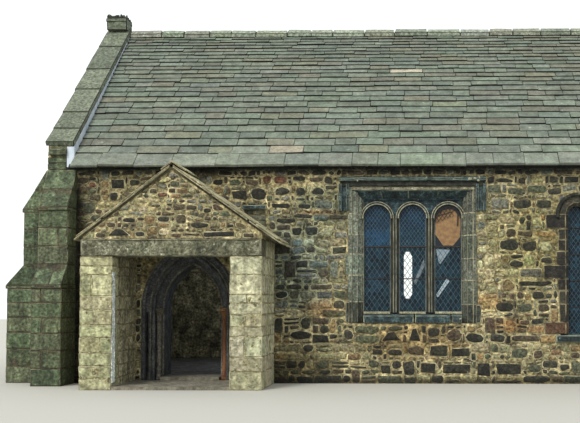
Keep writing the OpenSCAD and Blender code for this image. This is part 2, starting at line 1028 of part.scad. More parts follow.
// The tracery plate over the lights, with its sunk spandrels, under a splayed head
module window_head() {
    head_x = lights_half;
    color(ashlar_colour)
        on_south(window_x) {
            difference() {
                along_y(tracery_set, tracery_set + tracery_t)
                    difference() {
                        translate([-head_x, light_centre])
                            square([2 * head_x, tracery_top - light_centre]);
                        for (i = [-1:1])
                            translate([i * light_pitch, light_centre])
                                light_head(0);
                    }
                along_y(tracery_set - pass, tracery_set + spandrel_sink)
                    difference() {
                        translate([-head_x + spandrel_band, light_centre + spandrel_rim])
                            square([
                                2 * (head_x - spandrel_band),
                                tracery_top - light_centre - spandrel_rim - spandrel_band
                            ]);
                        for (i = [-1:1])
                            translate([i * light_pitch, light_centre])
                                light_head(spandrel_rim);
                    }
            }
            along_x(-window_half, window_half)
                polygon([
                    [0, head_top - face_band], [tracery_set, tracery_top], [frame_depth, tracery_top],
                    [frame_depth, head_top], [0, head_top]
                ]);
        }
}

// Side view of the label moulding: weathered above, hollow below
module label_profile() {
    lip = label_height / 3;
    polygon([
        [0, head_top], [-label_out, head_top + lip], [-label_out, head_top + label_height - lip / 2],
        [0, head_top + label_height]
    ]);
}

module window_label() {
    color(dark_stone_colour)
        on_south(window_x) {
            along_x(-label_half, label_half) label_profile();
            both_hands()
                translate([window_half, -label_out, head_top - label_drop])
                    cube([label_leg, label_out, label_drop + label_height / 2]);
        }
}

// The glass of the three lights, behind the tracery's middle
module window_glass() {
    color(glass_colour)
        on_south(window_x)
            for (i = [-1:1])
                along_y(glass_set, glass_set + glass_t)
                    intersection() {
                        translate([i * light_pitch - light_width / 2, window_sill_h])
                            square([light_width, light_crown - window_sill_h]);
                        union() {
                            translate([i * light_pitch, light_centre]) light_head(0);
                            translate([i * light_pitch - light_width / 2, window_sill_h])
                                square([light_width, light_centre - window_sill_h]);
                        }
                    }
}

// Dressed stones round a window, with a chamfer at the opening's edge
module dressed_surround(half, outer, foot, spring, chamfer) {
    difference() {
        translate([-outer, 0, foot])
            cube([2 * outer, lancet_depth, spring + outer - foot]);
        along_y(-pass, lancet_depth + pass)
            round_headed(half, foot - pass, spring);
        translate([0, 0, spring])
            rotate([-90, 0, 0])
                translate([0, 0, -pass])
                    cylinder(h = chamfer + pass, r1 = half + chamfer + pass, r2 = half);
        translate([0, 0, foot - pass])
            linear_extrude(spring - foot + pass)
                polygon([
                    [-half - chamfer - pass, -pass], [half + chamfer + pass, -pass],
                    [half, chamfer], [-half, chamfer]
                ]);
    }
}

module lancet_surrounds() {
    color(ashlar_colour)
        at_lancets()
            dressed_surround(lancet_half, lancet_outer, lancet_foot, lancet_spring, lancet_chamfer);
}

// A round hood moulding with short upright feet
module lancet_hoods() {
    color(dark_stone_colour)
        at_lancets()
            along_y(-hood_out, 0)
                difference() {
                    union() {
                        translate([0, lancet_spring]) circle(r = lancet_outer + hood_t);
                        translate([-lancet_outer - hood_t, lancet_spring - hood_drop])
                            square([2 * (lancet_outer + hood_t), hood_drop]);
                    }
                    translate([0, lancet_spring]) circle(r = lancet_outer);
                    translate([-lancet_outer, lancet_spring - 2 * lancet_outer])
                        square([2 * lancet_outer, 2 * lancet_outer]);
                    translate([-2 * lancet_outer, lancet_spring - hood_drop - 2 * lancet_outer])
                        square([4 * lancet_outer, 2 * lancet_outer]);
                }
}

module lancet_sills() {
    slope = 50;
    color(dark_stone_colour)
        at_lancets()
            along_x(-lancet_outer, lancet_outer)
                polygon([
                    [-lancet_sill_out, lancet_foot - lancet_sill_h], [-lancet_sill_out, lancet_foot - slope],
                    [0, lancet_foot], [lancet_depth, lancet_foot],
                    [lancet_depth, lancet_foot - lancet_sill_h]
                ]);
}

module lancet_glass() {
    color(glass_colour)
        at_lancets()
            along_y(lancet_glass_set, lancet_glass_set + glass_t)
                round_headed(lancet_half, lancet_foot, lancet_spring);
}

module slit_surrounds() {
    color(ashlar_colour)
        at_slits() {
            dressed_surround(slit_half, slit_outer, slit_foot, slit_spring, lancet_chamfer);
            translate([-slit_outer, 0, slit_foot - slit_surround])
                cube([2 * slit_outer, lancet_depth, slit_surround]);
        }
}

module slit_glass() {
    color(glass_colour)
        at_slits()
            along_y(lancet_glass_set, lancet_glass_set + glass_t)
                round_headed(slit_half, slit_foot, slit_spring);
}

module wall_ledge() {
    color(dark_stone_colour)
        on_south(porch_x + ledge_start)
            along_x(0, ledge_length)
                polygon([
                    [-ledge_out, ledge_top - ledge_t], [-ledge_out, ledge_top - ledge_t / 3],
                    [0, ledge_top], [0, ledge_top - ledge_t]
                ]);
}

nave_floor();
porch_floor();
threshold();
south_wall_west();
south_wall_over_door();
south_wall_middle();
south_wall_under_window();
south_wall_over_window();
south_wall_east();
north_wall();
west_gable_wall();
west_gable_top();
east_gable_wall();
east_gable_top();
nave_roof_south();
nave_roof_north();
ridge_stones();
coping_west();
coping_east();
kneelers();
apex_stones();
lead_flashings();
buttresses_west();
buttresses_east();
wall_plates();
tie_beams();
principal_rafters_south();
principal_rafters_north();
purlins();
porch_wall_west();
porch_wall_east();
porch_lintel();
porch_gable();
porch_roof_west();
porch_roof_east();
porch_ridge();
door_jambs();
door_arch();
door_shafts();
door_capitals();
window_sill();
window_jambs();
window_mullions();
window_head();
window_label();
window_glass();
lancet_surrounds();
lancet_hoods();
lancet_sills();
lancet_glass();
slit_surrounds();
slit_glass();
wall_ledge();
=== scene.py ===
"""Dresses a small stone chapel with a gabled south porch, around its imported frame.

Lengths are in metres unless a name says millimetres. +X runs east along the nave, +Y north and +Z up.
"""

import json
import logging
import math
from dataclasses import dataclass, field
from enum import Enum
from itertools import pairwise, product
from typing import Callable, Iterable, Iterator, Sequence

import bpy
import numpy as np
from mathutils import Matrix, Vector


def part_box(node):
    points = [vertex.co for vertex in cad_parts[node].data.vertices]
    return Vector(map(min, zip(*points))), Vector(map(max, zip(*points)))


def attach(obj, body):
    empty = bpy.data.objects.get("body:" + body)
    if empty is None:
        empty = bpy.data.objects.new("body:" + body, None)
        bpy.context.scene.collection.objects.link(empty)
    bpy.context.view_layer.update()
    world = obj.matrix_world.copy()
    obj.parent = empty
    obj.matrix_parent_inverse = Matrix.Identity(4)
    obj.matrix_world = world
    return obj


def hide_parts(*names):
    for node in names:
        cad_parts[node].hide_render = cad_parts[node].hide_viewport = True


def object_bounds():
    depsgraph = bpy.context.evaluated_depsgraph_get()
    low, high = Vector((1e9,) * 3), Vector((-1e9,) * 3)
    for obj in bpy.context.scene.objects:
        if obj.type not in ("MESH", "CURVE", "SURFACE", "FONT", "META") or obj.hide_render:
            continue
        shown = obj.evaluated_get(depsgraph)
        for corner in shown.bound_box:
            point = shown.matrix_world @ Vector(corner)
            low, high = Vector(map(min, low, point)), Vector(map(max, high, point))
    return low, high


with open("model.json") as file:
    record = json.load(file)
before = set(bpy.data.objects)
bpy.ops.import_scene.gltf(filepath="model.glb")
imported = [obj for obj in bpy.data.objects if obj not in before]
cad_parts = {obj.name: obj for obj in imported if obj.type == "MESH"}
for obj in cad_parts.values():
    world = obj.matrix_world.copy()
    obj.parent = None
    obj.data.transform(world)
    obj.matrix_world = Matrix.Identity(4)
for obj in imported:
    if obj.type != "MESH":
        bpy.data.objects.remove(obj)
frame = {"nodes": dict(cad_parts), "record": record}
CAD_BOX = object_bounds()

Draw, Piece, Socket = np.random.Generator, bpy.types.Object, bpy.types.NodeSocket
Pair, Spot, Rect = tuple[float, float], tuple[float, float, float], tuple[float, float, float, float]
Warp = Callable[[np.ndarray], np.ndarray]
chance = np.random.default_rng
# The low and high end of three axes, the third one fastest, and the two ends of the building's length
ENDS = tuple(product((0, 1), repeat=3))

SIDES = ((-1, "west"), (1, "east"))
LOG = logging.getLogger("chapel")
BODY = "root"

# Faces and heights of the building, read from the frame's own nodes
WEST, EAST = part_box("west_gable_wall")[0].x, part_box("east_gable_wall")[1].x
SOUTH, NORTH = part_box("west_gable_wall")[0].y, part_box("west_gable_wall")[1].y
WALL_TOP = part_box("south_wall_east")[1].z
PORCH_LOW, PORCH_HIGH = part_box("porch_lintel")
PORCH_X = (PORCH_LOW.x + PORCH_HIGH.x) / 2
PORCH_FRONT = PORCH_LOW.y
PITCH = math.radians(42)
ROOF_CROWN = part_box("nave_roof_south")[1].z
WINDOW_LOW, WINDOW_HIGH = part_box("window_jambs")
WINDOW_X = (WINDOW_LOW.x + WINDOW_HIGH.x) / 2
UP = Vector((0, 0, 1))

# Height at which the gables' coping starts
GABLE_FOOT = 4.59
# The lancets' places on the south wall and from the east gable's middle, and how much higher a middle one is
SOUTH_LANCETS = (2.2985, 5.4)
EAST_PITCH = 1.35
LANCET_RISE = 0.5
# Places of the narrow north windows, and their half width, foot and springing
SLITS = tuple(6.184 - 3.6 * i for i in range(4))
SLIT_SIZE = (0.115, 1.627, 2.8)
# Foot, top and reach from the middle of each quoin, on a narrow window and on a lancet
SLIT_ROWS = ((1.627, 1.93, 0.32), (1.93, 2.24, 0.26), (2.24, 2.51, 0.33), (2.51, 2.8, 0.27))
QUOIN_ROWS = ((0.95, 1.18, 0.62), (1.18, 1.53, 0.35), (1.53, 1.785, 0.37), (1.785, 2.01, 0.39),
              (2.01, 2.275, 0.66), (2.275, 2.54, 0.41), (2.54, 2.76, 0.37), (2.76, 2.97, 0.37),
              (2.97, 3.25, 0.6))


def linear(code: str) -> Rect:
    """Turns an sRGB hex value into linear red, green, blue and a full alpha."""
    parts = [int(code[i:i + 2], 16) / 255 for i in (1, 3, 5)]
    return (*[v / 12.92 if v <= 0.04045 else ((v + 0.055) / 1.055) ** 2.4 for v in parts], 1.0)


def varied(code: str, draw: Draw, spread: float = 0.2) -> str:
    """Shades a colour at random.

    Args:
        code: The colour.
        draw: Source of chance.
        spread: How far its brightness may go either way.

    Returns:
        The new colour.
    """
    parts = np.array([int(code[i:i + 2], 16) for i in (1, 3, 5)], float)
    parts *= (1 + draw.uniform(-spread, spread)) * draw.uniform(0.97, 1.03, 3)
    return "#%02X%02X%02X" % tuple(int(v) for v in np.clip(parts, 0, 255))


def one_of(pool: Sequence[str], draw: Draw, spread: float = 0.2) -> str:
    """Draws one of a few colours and shades it at random."""
    return varied(pool[draw.integers(len(pool))], draw, spread)


def hashed(keys: np.ndarray) -> np.ndarray:
    """Scatters whole numbers over -1 to 1, the same way every time."""
    mixed = keys.astype(np.uint64) * np.uint64(0x9E3779B97F4A7C15)
    mixed = (mixed ^ (mixed >> np.uint64(29))) * np.uint64(0xBF58476D1CE4E5B9)
    mixed ^= mixed >> np.uint64(32)
    return (mixed >> np.uint64(40)).astype(float) / (1 << 23) - 1


def wander(points: np.ndarray, size: float, seed: int = 0) -> np.ndarray:
    """Smooth noise over space.

    Args:
        points: Points, one a row.
        size: Distance over which the noise changes.
        seed: Picks one of many patterns.

    Returns:
        One number from -1 to 1 for each point.
    """
    grid = points / size
    base = np.floor(grid).astype(np.int64)
    part = grid - base
    part = part * part * (3 - 2 * part)
    total = np.zeros(len(points))
    for corner in ENDS:
        step = np.array(corner)
        key = (base + step) @ np.array([73856093, 19349663, 83492791]) + seed * 7919
        total += hashed(key) * np.prod(np.where(step, part, 1 - part), axis=1)
    return total


class Graph:
    """The nodes of one material."""

    def __init__(self, name: str) -> None:
        """Starts an empty material.

        Args:
            name: The finish's name.
        """
        self.material = bpy.data.materials.new(name)
        self.material.use_nodes = True
        self.tree = self.material.node_tree
        self.tree.nodes.clear()
        self.place = self.add("TexCoord").outputs["Object"]

    def add(self, kind: str, feeds: dict | None = None, stops: Iterable = (),
            **settings: object) -> bpy.types.Node:
        """Adds one node with its settings and links.

        Args:
            kind: The node's type without its "ShaderNode".
            feeds: For each input's name or number, the socket that feeds it or its own value.
            stops: A colour ramp's places and colours.
            settings: The node's own properties.

        Returns:
            The new node.
        """
        made = self.tree.nodes.new("ShaderNode" + kind)
        for name, value in settings.items():
            setattr(made, name, value)
        for name, value in (feeds or {}).items():
            if isinstance(value, Socket):
                self.tree.links.new(value, made.inputs[name])
            else:
                made.inputs[name].default_value = value
        for i, (place, code) in enumerate(stops):
            stop = made.color_ramp.elements[i] if i < 2 else made.color_ramp.elements.new(place)
            stop.position = place
            stop.color = linear(code)
        return made

    def blend(self, share: object, under: object, over: object, how: str = "MIX") -> Socket:
        """Lays one colour over another."""
        return self.add("Mix", {0: share, 6: under, 7: over}, data_type="RGBA", blend_type=how).outputs[2]

    def noise(self, size_mm: float, low: float, high: float, detail: float = 3.0,
              stretch: Spot = (1, 1, 1)) -> Socket:
        """A cloudy mask whose patches have a real size.

        Args:
            size_mm: Width of a patch in millimetres.
            low: Noise value at which the mask starts.
            high: Noise value at which it is full.
            detail: Octaves of finer noise.
            stretch: Squeezes the patches along each axis.

        Returns:
            The mask's socket, from 0 to 1.
        """
        place = self.add("Mapping", {"Vector": self.place, "Scale": stretch}).outputs[0]
        cloud = self.add("TexNoise", {"Vector": place, "Scale": 1000 / size_mm, "Detail": detail})
        return self.add("MapRange", {"Value": cloud.outputs[0], "From Min": low, "From Max": high}).outputs[0]

    def scaled(self, value: object, low: float, high: float) -> Socket:
        """Spreads a mask from 0 to 1 over another range."""
        return self.add("MapRange", {"Value": value, "To Min": low, "To Max": high}).outputs[0]

    def finish(self, colour: object, relief: object, depth_mm: float, feeds: dict) -> bpy.types.Material:
        """Ends the nodes with their shader.

        Args:
            colour: The surface's colour.
            relief: Height of the surface's grain, or None.
            depth_mm: Depth of that grain in millimetres.
            feeds: The shader's other inputs.

        Returns:
            The finished material.
        """
        shader = self.add("BsdfPrincipled", {"Base Color": colour, **feeds})
        if relief is not None:
            bump = self.add("Bump", {"Height": relief, "Distance": depth_mm / 1000, "Strength": 1.0})
            self.tree.links.new(bump.outputs[0], shader.inputs["Normal"])
        self.add("OutputMaterial", {"Surface": shader.outputs[0]})
        return self.material


@dataclass(frozen=True)
class StainAndShade:
    """A patch of wall with its own tint, round a point of the building; some are stains and some painted
    shade.
    """

    centre: Spot
    reach: Spot
    colour: str
    strength: float

    def lay(self, graph: Graph, under: object, ragged: object) -> Socket:
        """Lays the tint over a colour.

        Args:
            graph: The material's nodes.
            under: The colour below.
            ragged: Noise that frays the tint's edge.

        Returns:
            The tinted colour's socket.
        """
        off = graph.add("VectorMath", {0: graph.place, 1: self.centre}, operation="SUBTRACT").outputs[0]
        near = graph.add("VectorMath", {0: off, 1: self.reach}, operation="DIVIDE").outputs[0]
        far = graph.add("VectorMath", {0: near}, operation="LENGTH").outputs["Value"]
        edge = graph.add("Math", {0: far, 1: ragged}, operation="ADD").outputs[0]
        share = graph.add("MapRange", {
            "Value": edge, "From Min": 1.7, "From Max": 0.9, "To Max": self.strength,
        }, interpolation_type="SMOOTHSTEP").outputs[0]
        return graph.blend(share, under, linear(self.colour), "MULTIPLY")


# Tints laid over the walls: damp, soot and iron, painted shade under the eaves and in the recess by the west
# buttress, and bluer patches right of the porch
STAINS_AND_SHADE = (
    # A bluer, slightly darker patch on the wall right of the porch
    StainAndShade((-3.1, -3.8, 2.3), (0.75, 0.7, 1.2), "#C4DCF4", 0.85),
    StainAndShade((-3.1, -3.8, 0.1), (1.0, 0.7, 0.6), "#908A74", 0.8),
    # Partly damp and partly painted shadow in the recess between the west buttress and the porch
    StainAndShade((-7.42, -3.8, 1.8), (0.36, 0.6, 3.4), "#26241E", 0.95),
    StainAndShade((-2.5, -3.8, 3.4), (0.7, 0.7, 0.5), "#C8D8E0", 0.8),
    # Partly soot and partly painted shadow: a dark band under both eaves
    StainAndShade((0, -3.9, 4.2), (60, 0.7, 0.17), "#3A4854", 0.97),
    StainAndShade((0, 3.9, 4.2), (60, 0.7, 0.17), "#3A4854", 0.97),
    StainAndShade((-0.9, -3.8, 0.85), (1.1, 0.7, 0.5), "#D2B896", 0.6),
    StainAndShade((-2.6, -3.8, 1.42), (0.45, 0.7, 0.18), "#F0A870", 0.45),
    StainAndShade((0.55, -3.8, 1.56), (0.4, 0.7, 0.2), "#FFD0A4", 0.6),
    StainAndShade((1.0, -3.8, 1.12), (0.4, 0.7, 0.15), "#F4B880", 0.5),
    StainAndShade((-2.7, -3.8, 3.29), (0.5, 0.7, 0.07), "#FFB888", 0.5),
    StainAndShade((1.4, -3.8, 2.6), (0.9, 0.7, 1.1), "#D2D2A6", 0.5),
    StainAndShade((0, 0, 0), (60, 60, 0.14), "#7A745C", 0.85),
)


@dataclass(frozen=True)
class Stonework:
    """A weathered stone or mortar surface, mottled, lichened and grained at real sizes."""

    name: str
    shades: tuple[str, str, str]
    blotch_mm: float = 240
    grain_mm: float = 22
    lichen: str = "#85856E"
    lichen_cover: float = 0.3
    growth: str = "#34382A"
    growth_cover: float = 0.3
    roughness: float = 0.92
    relief_mm: float = 5
    own_tone: float = 0.0
    rim: tuple[str, ...] = ()
    rim_cover: float = 0.5
    contrast: float = 1.3
    streaks: float = 0.0
    stains_and_shade: bool = False

    def build(self) -> bpy.types.Material:
        """Makes the material.

        Returns:
            The material.
        """
        graph = Graph(self.name)
        blotch = graph.noise(self.blotch_mm, 0.25, 0.75, 5)
        order = (self.shades[0], self.shades[2], self.shades[1])
        colour = graph.add("ValToRGB", {"Fac": blotch}, zip((0.1, 0.9, 0.5), order)).outputs[0]
        if self.own_tone:
            tone = graph.add("Attribute", attribute_name="tone").outputs["Color"]
            colour = graph.blend(self.own_tone, colour, tone)
        mottle = graph.noise(self.blotch_mm / 4, 0.3, 0.7, 4)
        depth = self.contrast * 0.3
        colour = graph.blend(1.0, colour, graph.scaled(mottle, 1 - depth, 1 + depth), "MULTIPLY")
        cover = self.growth_cover
        growth = graph.noise(self.blotch_mm * 2.2, 0.78 - cover * 0.5, 0.9 - cover * 0.4, 6)
        colour = graph.blend(graph.scaled(growth, 0, 0.75), colour, linear(self.growth))
        cover = self.lichen_cover * 0.3
        lichen = graph.noise(self.grain_mm * 3, 0.76 - cover, 0.84 - cover, 5)
        colour = graph.blend(graph.scaled(lichen, 0, 0.8), colour, linear(self.lichen))
        grain = graph.noise(self.grain_mm, 0.25, 0.75, 6)
        colour = graph.blend(1.0, colour, graph.scaled(grain, 1 - depth * 1.35, 1 + depth * 1.35), "MULTIPLY")
        # The rim colour: lime smeared round stones' edges, pale worn arrises, and on the slates painted shade
        # along their tails
        if self.rim:
            edge = graph.add("Attribute", attribute_name="rim").outputs["Fac"]
            rim_spread = graph.scaled(graph.noise(60, 0.2, 0.8, 4), self.rim_cover, self.rim_cover + 0.7)
            reach = graph.add("Math", {0: edge, 1: rim_spread}, operation="MULTIPLY").outputs[0]
            share = graph.add("MapRange", {"Value": reach, "From Min": 0.4, "From Max": 0.8}).outputs[0]
            lime_and_shade = graph.blend(graph.noise(190, 0.38, 0.62, 4), linear(self.rim[0]), linear(self.rim[-1]))
            colour = graph.blend(share, colour, lime_and_shade)
        if self.streaks:
            runs = graph.noise(130, 0.35, 0.7, 5, (1, 1, 0.12))
            colour = graph.blend(graph.scaled(runs, 0, self.streaks), colour, linear("#4A4636"), "MULTIPLY")
        # Lays the walls' stains and their painted shade
        if self.stains_and_shade:
            ragged = graph.noise(420, 0.0, 1.0, 5)
            for tint_patch in STAINS_AND_SHADE:
                colour = tint_patch.lay(graph, colour, ragged)
        relief = graph.add("Math", {0: grain, 1: mottle}, operation="ADD").outputs[0]
        return graph.finish(colour, relief, self.relief_mm, {"Roughness": self.roughness})


@dataclass(frozen=True)
class Plain:
    """A finish that isn't stone: two colours in clouds or runs of a real size."""

    name: str
    colours: tuple[str, str]
    size_mm: float
    stretch: Spot = (1, 1, 1)
    roughness: float = 0.6
    relief_mm: float = 2
    transmission: float = 0.0
    own_tone: float = 0.0
    gloss: float = 0.5

    def build(self) -> bpy.types.Material:
        """Makes the material.

        Returns:
            The material.
        """
        graph = Graph(self.name)
        cloud = graph.noise(self.size_mm, 0.3, 0.7, 4, self.stretch)
        colour = graph.blend(cloud, linear(self.colours[0]), linear(self.colours[1]))
        if self.own_tone:
            tone = graph.add("Attribute", attribute_name="tone").outputs["Color"]
            colour = graph.blend(self.own_tone, colour, tone)
        return graph.finish(colour, cloud, self.relief_mm, {
            "Roughness": self.roughness, "Transmission Weight": self.transmission,
            "Specular IOR Level": self.gloss,
        })


FINISHES = {
    # Field stones, each of its own colour, with cream lime smeared round its edge
    "rubble": Stonework(
        "field_stone", ("#3A382C", "#605E4A", "#8A8868"), 150, 42, rim=("#3E3A2A", "#B8B08C"),
        growth_cover=0.15, relief_mm=10, stains_and_shade=True, lichen_cover=0.2, contrast=1.75, own_tone=0.88),
    # Lime mortar between them, olive-buff where it is damp
    "mortar": Stonework(
        "lime_mortar", ("#524A35", "#857B56", "#BCAE82"), 260, 46, lichen="#CCC098", growth="#3A3626",
        growth_cover=0.35, relief_mm=12, stains_and_shade=True, contrast=2.0),
    # Riven stone slates, grey-green with lichen, with painted shade along their tails under each course
    "slate": Stonework(
        "riven_stone_slate", ("#565E53", "#687064", "#7A8274"), 600, 40, own_tone=0.65, lichen="#8E9586",
        growth="#5E604E", growth_cover=0.12, relief_mm=1.5, rim=("#0C0D09",), rim_cover=0.95, contrast=0.8),
    # The dark bed under the slates; also painted shade inside the porch's vent
    "slate_bed": Stonework("slate_bedding_and_painted_shade", ("#1C1C18", "#24241E", "#2C2C24"), 200, 20),
    # Coping slabs, grey-olive under moss
    "coping": Stonework(
        "mossy_coping_stone", ("#40463A", "#535A4C", "#666C5D"), 260, 40, own_tone=0.5, lichen="#9CA28C",
        growth="#384030", growth_cover=0.4, relief_mm=8, rim=("#24261C",), rim_cover=0.62, contrast=1.4),
    # Quoins blackened by soot, with pale joints
    "dark_quoin": Stonework(
        "blackened_sandstone", ("#1A1915", "#302E26", "#4A463A"), 150, 36, own_tone=0.7, lichen="#6E6C58",
        growth="#12120E", lichen_cover=0.2, relief_mm=7, rim=("#2A281E", "#968C6A"), rim_cover=0.45,
        contrast=1.6),
    # Squared buff sandstone of the porch, pale where rain washes it
    "buff_ashlar": Stonework(
        "buff_sandstone", ("#76744F", "#A4A27C", "#C6C49E"), 340, 46, own_tone=0.5, lichen="#CCC8A8",
        growth="#6E6947", growth_cover=0.25, relief_mm=10, rim=("#6A6446", "#C8C0A0"), rim_cover=0.6,
        streaks=0.45),
    # The same stone inside the porch and on its sheltered side, brown and streaked
    "brown_ashlar": Stonework(
        "streaked_brown_sandstone", ("#8A8468", "#B4AC8E", "#D4CCAC"), 260, 40, own_tone=0.3,
        growth="#4E4A36", relief_mm=9, rim=("#7A745C",), streaks=0.7, contrast=1.7),
    # Mortar of the porch's joints, nearly as pale as its stones
    "pale_joint": Stonework("pale_joint_mortar", ("#5C5840", "#807A5A", "#A09A76"), 160, 40),
    # Dressed stone of the doorway, grey-brown in its shade
    "door_stone": Stonework("doorway_sandstone", ("#4C4A42", "#666258", "#7E786A"), 160, 30, relief_mm=6),
    # A blue-white strip up the west jamb's inner edge: a painted highlight
    "bleached": Stonework(
        "bleached_sandstone", ("#BCC6BE", "#DCE6E2", "#F4FAF8"), 120, 36, streaks=0.2, growth="#6E6E56",
        growth_cover=0.4),
    # Squared sandstone of the buttresses, green with algae
    "green_ashlar": Stonework(
        "algae_green_sandstone", ("#36422E", "#566648", "#788866"), 240, 44, own_tone=0.5,
        lichen="#98A084", growth="#222818", growth_cover=0.4, relief_mm=10, rim=("#2E301F", "#8E8A6C"),
        streaks=0.6, contrast=1.5),
    # Window stones, grey-green with pale arrises
    "window_stone": Stonework(
        "grey_green_sandstone", ("#343A34", "#586054", "#80867A"), 150, 36, own_tone=0.6, lichen="#9CA294",
        growth="#23271F", growth_cover=0.35, relief_mm=6, rim=("#6E6A54", "#BCB494"), rim_cover=0.72,
        streaks=0.6, contrast=1.8),
    # Mullions, dark between arrises that rain has washed pale
    "mullion": Stonework(
        "dark_mullion_sandstone", ("#1C201E", "#2C322E", "#454B44"), 150, 30, own_tone=0.4,
        lichen="#6E766C", lichen_cover=0.2, relief_mm=4, rim=("#7C765C", "#C4BC9C"), rim_cover=0.75,
        streaks=0.4),
    # Dressed sandstone blackened by soot
    "soot_stone": Stonework(
        "sooted_sandstone", ("#10191C", "#24363A", "#4E6664"), 140, 30, own_tone=0.3, lichen="#8A968C",
        growth="#1A221E", growth_cover=0.4, rim=("#3E463E", "#8E947E"), contrast=1.8),
    # The window's spandrels, grey-green and sunk between pale edges
    "tracery": Stonework(
        "tracery_sandstone", ("#141E20", "#25343A", "#445A5C"), 90, 24, lichen="#7C8A7E", growth_cover=0.4,
        contrast=1.6),
    # Worn arrises, washed pale by rain
    "pale_arris": Stonework("washed_arris", ("#77745C", "#948F74", "#B0AA8C"), 90, 14),
    # Sooted stones that have no colours of their own; also the painted shadow in the label's hollow
    "dark_hood": Stonework("sooted_stone_and_painted_shadow", ("#14150F", "#24251E", "#3C3E32"), 120, 18),
    # Mortar in the thin joints of squared stones
    "core": Stonework("joint_mortar", ("#2C2A1E", "#403C2C", "#545038"), 200, 20),
    # Dressed stone in the shade of the openings
    "shaded": Stonework("shaded_sandstone", ("#383A3C", "#4E5050", "#666A66"), 150, 18),
    # The porch's lintel, one brown gritstone
    "lintel": Stonework(
        "brown_gritstone", ("#4A4A3A", "#66664F", "#80806A"), 200, 32, lichen="#B4B49C", lichen_cover=0.5,
        growth="#34331F", growth_cover=0.4, relief_mm=8, rim=("#4A4836", "#9A967C"), streaks=0.45,
        contrast=1.7),
    # Worn flagstones
    "paving": Stonework(
        "worn_flagstone", ("#575346", "#706B5C", "#848070"), 300, 16, relief_mm=3, growth_cover=0.1),
    # Dressed lead, chalky and pale in the weather
    "lead": Plain("weathered_sheet_lead", ("#98A6B4", "#CDD6DE"), 120, (1, 1, 0.3), 0.5),
    # Window leads, dull blue-grey
    "came": Plain("window_lead", ("#1E2E36", "#425862"), 60, roughness=0.5),
    # Iron bars, rusted dark
    "iron": Plain("rusted_iron", ("#1C1A18", "#33271F"), 40, roughness=0.7),
    # Old window glass, smooth and mirror-like, letting a little light through
    "glass": Plain("old_window_glass", ("#0C1820", "#16303F"), 500, roughness=0.08, relief_mm=0.3,
                   transmission=0.55, gloss=0.15),
    # Small panes, each with its own blue
    "pane": Plain("blue_window_pane", ("#0E1D28", "#1B3C50"), 300, roughness=0.1, relief_mm=0.2,
                  transmission=0.1, own_tone=0.8, gloss=0.12),
    # Panes painted pale: painted light of a bright window beyond them, and painted reflections
    "bright_pane": Plain("painted_light_window_pane", ("#C8D0CE", "#F2F6F4"), 60, roughness=0.3, relief_mm=0.2,
                         own_tone=0.85),
    # Rough-sawn oak, dark with age
    "oak": Plain("aged_oak", ("#2A1E14", "#503B28"), 110, (1, 6, 6), 0.8, 3),
    # Sandstone that iron has turned orange-brown
    "ferrous": Plain("iron_stained_sandstone", ("#5C3A26", "#8E6040"), 90, (1, 1, 0.4), 0.9, 4),
    # A plain board behind broken panes, faded orange-brown
    "board": Plain("faded_board", ("#74573C", "#94764F"), 60, roughness=0.85, relief_mm=1),
}


class Tone(Enum):
    """Colours of single stones."""

    SOOT = "#11110E"
    DARK = "#24241E"
    BROWN = "#44392A"
    MOSS = "#444836"
    GREY = "#64655A"
    OCHRE = "#74603F"
    BUFF = "#88825F"
    PALE = "#A8A07C"
    RED = "#5E3C2B"


@dataclass
class Master:
    """A shape modelled once in a cube from -1 to 1, whose copies are fitted into many cells."""

    points: np.ndarray
    faces: list[tuple[int, ...]]
    rim: np.ndarray

    @classmethod
    def take(cls, piece: Piece, rim: Warp) -> "Master":
        """Takes the shape from a modelled object and removes the object.

        Args:
            piece: The object.
            rim: Gives each point's nearness to the stone's edge, from 0 to 1.

        Returns:
            The master.
        """
        points = np.array([v.co for v in piece.data.vertices], float)
        faces = [tuple(f.vertices) for f in piece.data.polygons]
        bpy.data.meshes.remove(piece.data)
        return cls(points, faces, rim(points))


def opened() -> Piece:
    """Opens the active object for editing by faces, all of it selected."""
    bpy.ops.object.mode_set(mode="EDIT")
    bpy.ops.mesh.select_mode(type="FACE")
    bpy.ops.mesh.select_all(action="SELECT")
    return bpy.context.active_object


def fresh(add: Callable[..., object], **size: object) -> Piece:
    """Adds a primitive with nothing else selected, and opens it for editing by faces.

    Args:
        add: The primitive's operator.
        size: Its settings.

    Returns:
        The new object, in edit mode with all selected.
    """
    bpy.ops.object.select_all(action="DESELECT")
    add(**size)
    bpy.ops.object.transform_apply(location=True, rotation=True, scale=True)
    return opened()


def pick(piece: Piece, wanted: Callable[[Vector, Vector], bool], kind: str = "FACE") -> None:
    """Selects the faces or points that a rule wants, in edit mode.

    Args:
        piece: The object that is being edited.
        wanted: Says yes or no from a part's place and normal.
        kind: "FACE" or "VERT".
    """
    bpy.ops.mesh.select_mode(type=kind)
    bpy.ops.mesh.select_all(action="DESELECT")
    bpy.ops.object.mode_set(mode="OBJECT")
    faces = kind == "FACE"
    for part in piece.data.polygons if faces else piece.data.vertices:
        part.select = wanted(part.center if faces else part.co, part.normal)
    bpy.ops.object.mode_set(mode="EDIT")


def move(*by: float) -> None:
    """Moves what is selected."""
    bpy.ops.transform.translate(value=by)


def extrude(*by: float) -> None:
    """Extrudes what is selected."""
    bpy.ops.mesh.extrude_region_move(TRANSFORM_OT_translate={"value": by})


def outline(points: Iterable[Spot]) -> Piece:
    """Makes a flat face with an outline of its own, from a circle with as many points.

    Args:
        points: The outline's points.

    Returns:
        The new object, in edit mode with its face selected.
    """
    corners = list(points)
    bpy.ops.object.select_all(action="DESELECT")
    bpy.ops.mesh.primitive_circle_add(vertices=len(corners), radius=1, fill_type="NGON")
    piece = bpy.context.active_object
    for point, corner in zip(piece.data.vertices, corners):
        point.co = corner
    return opened()


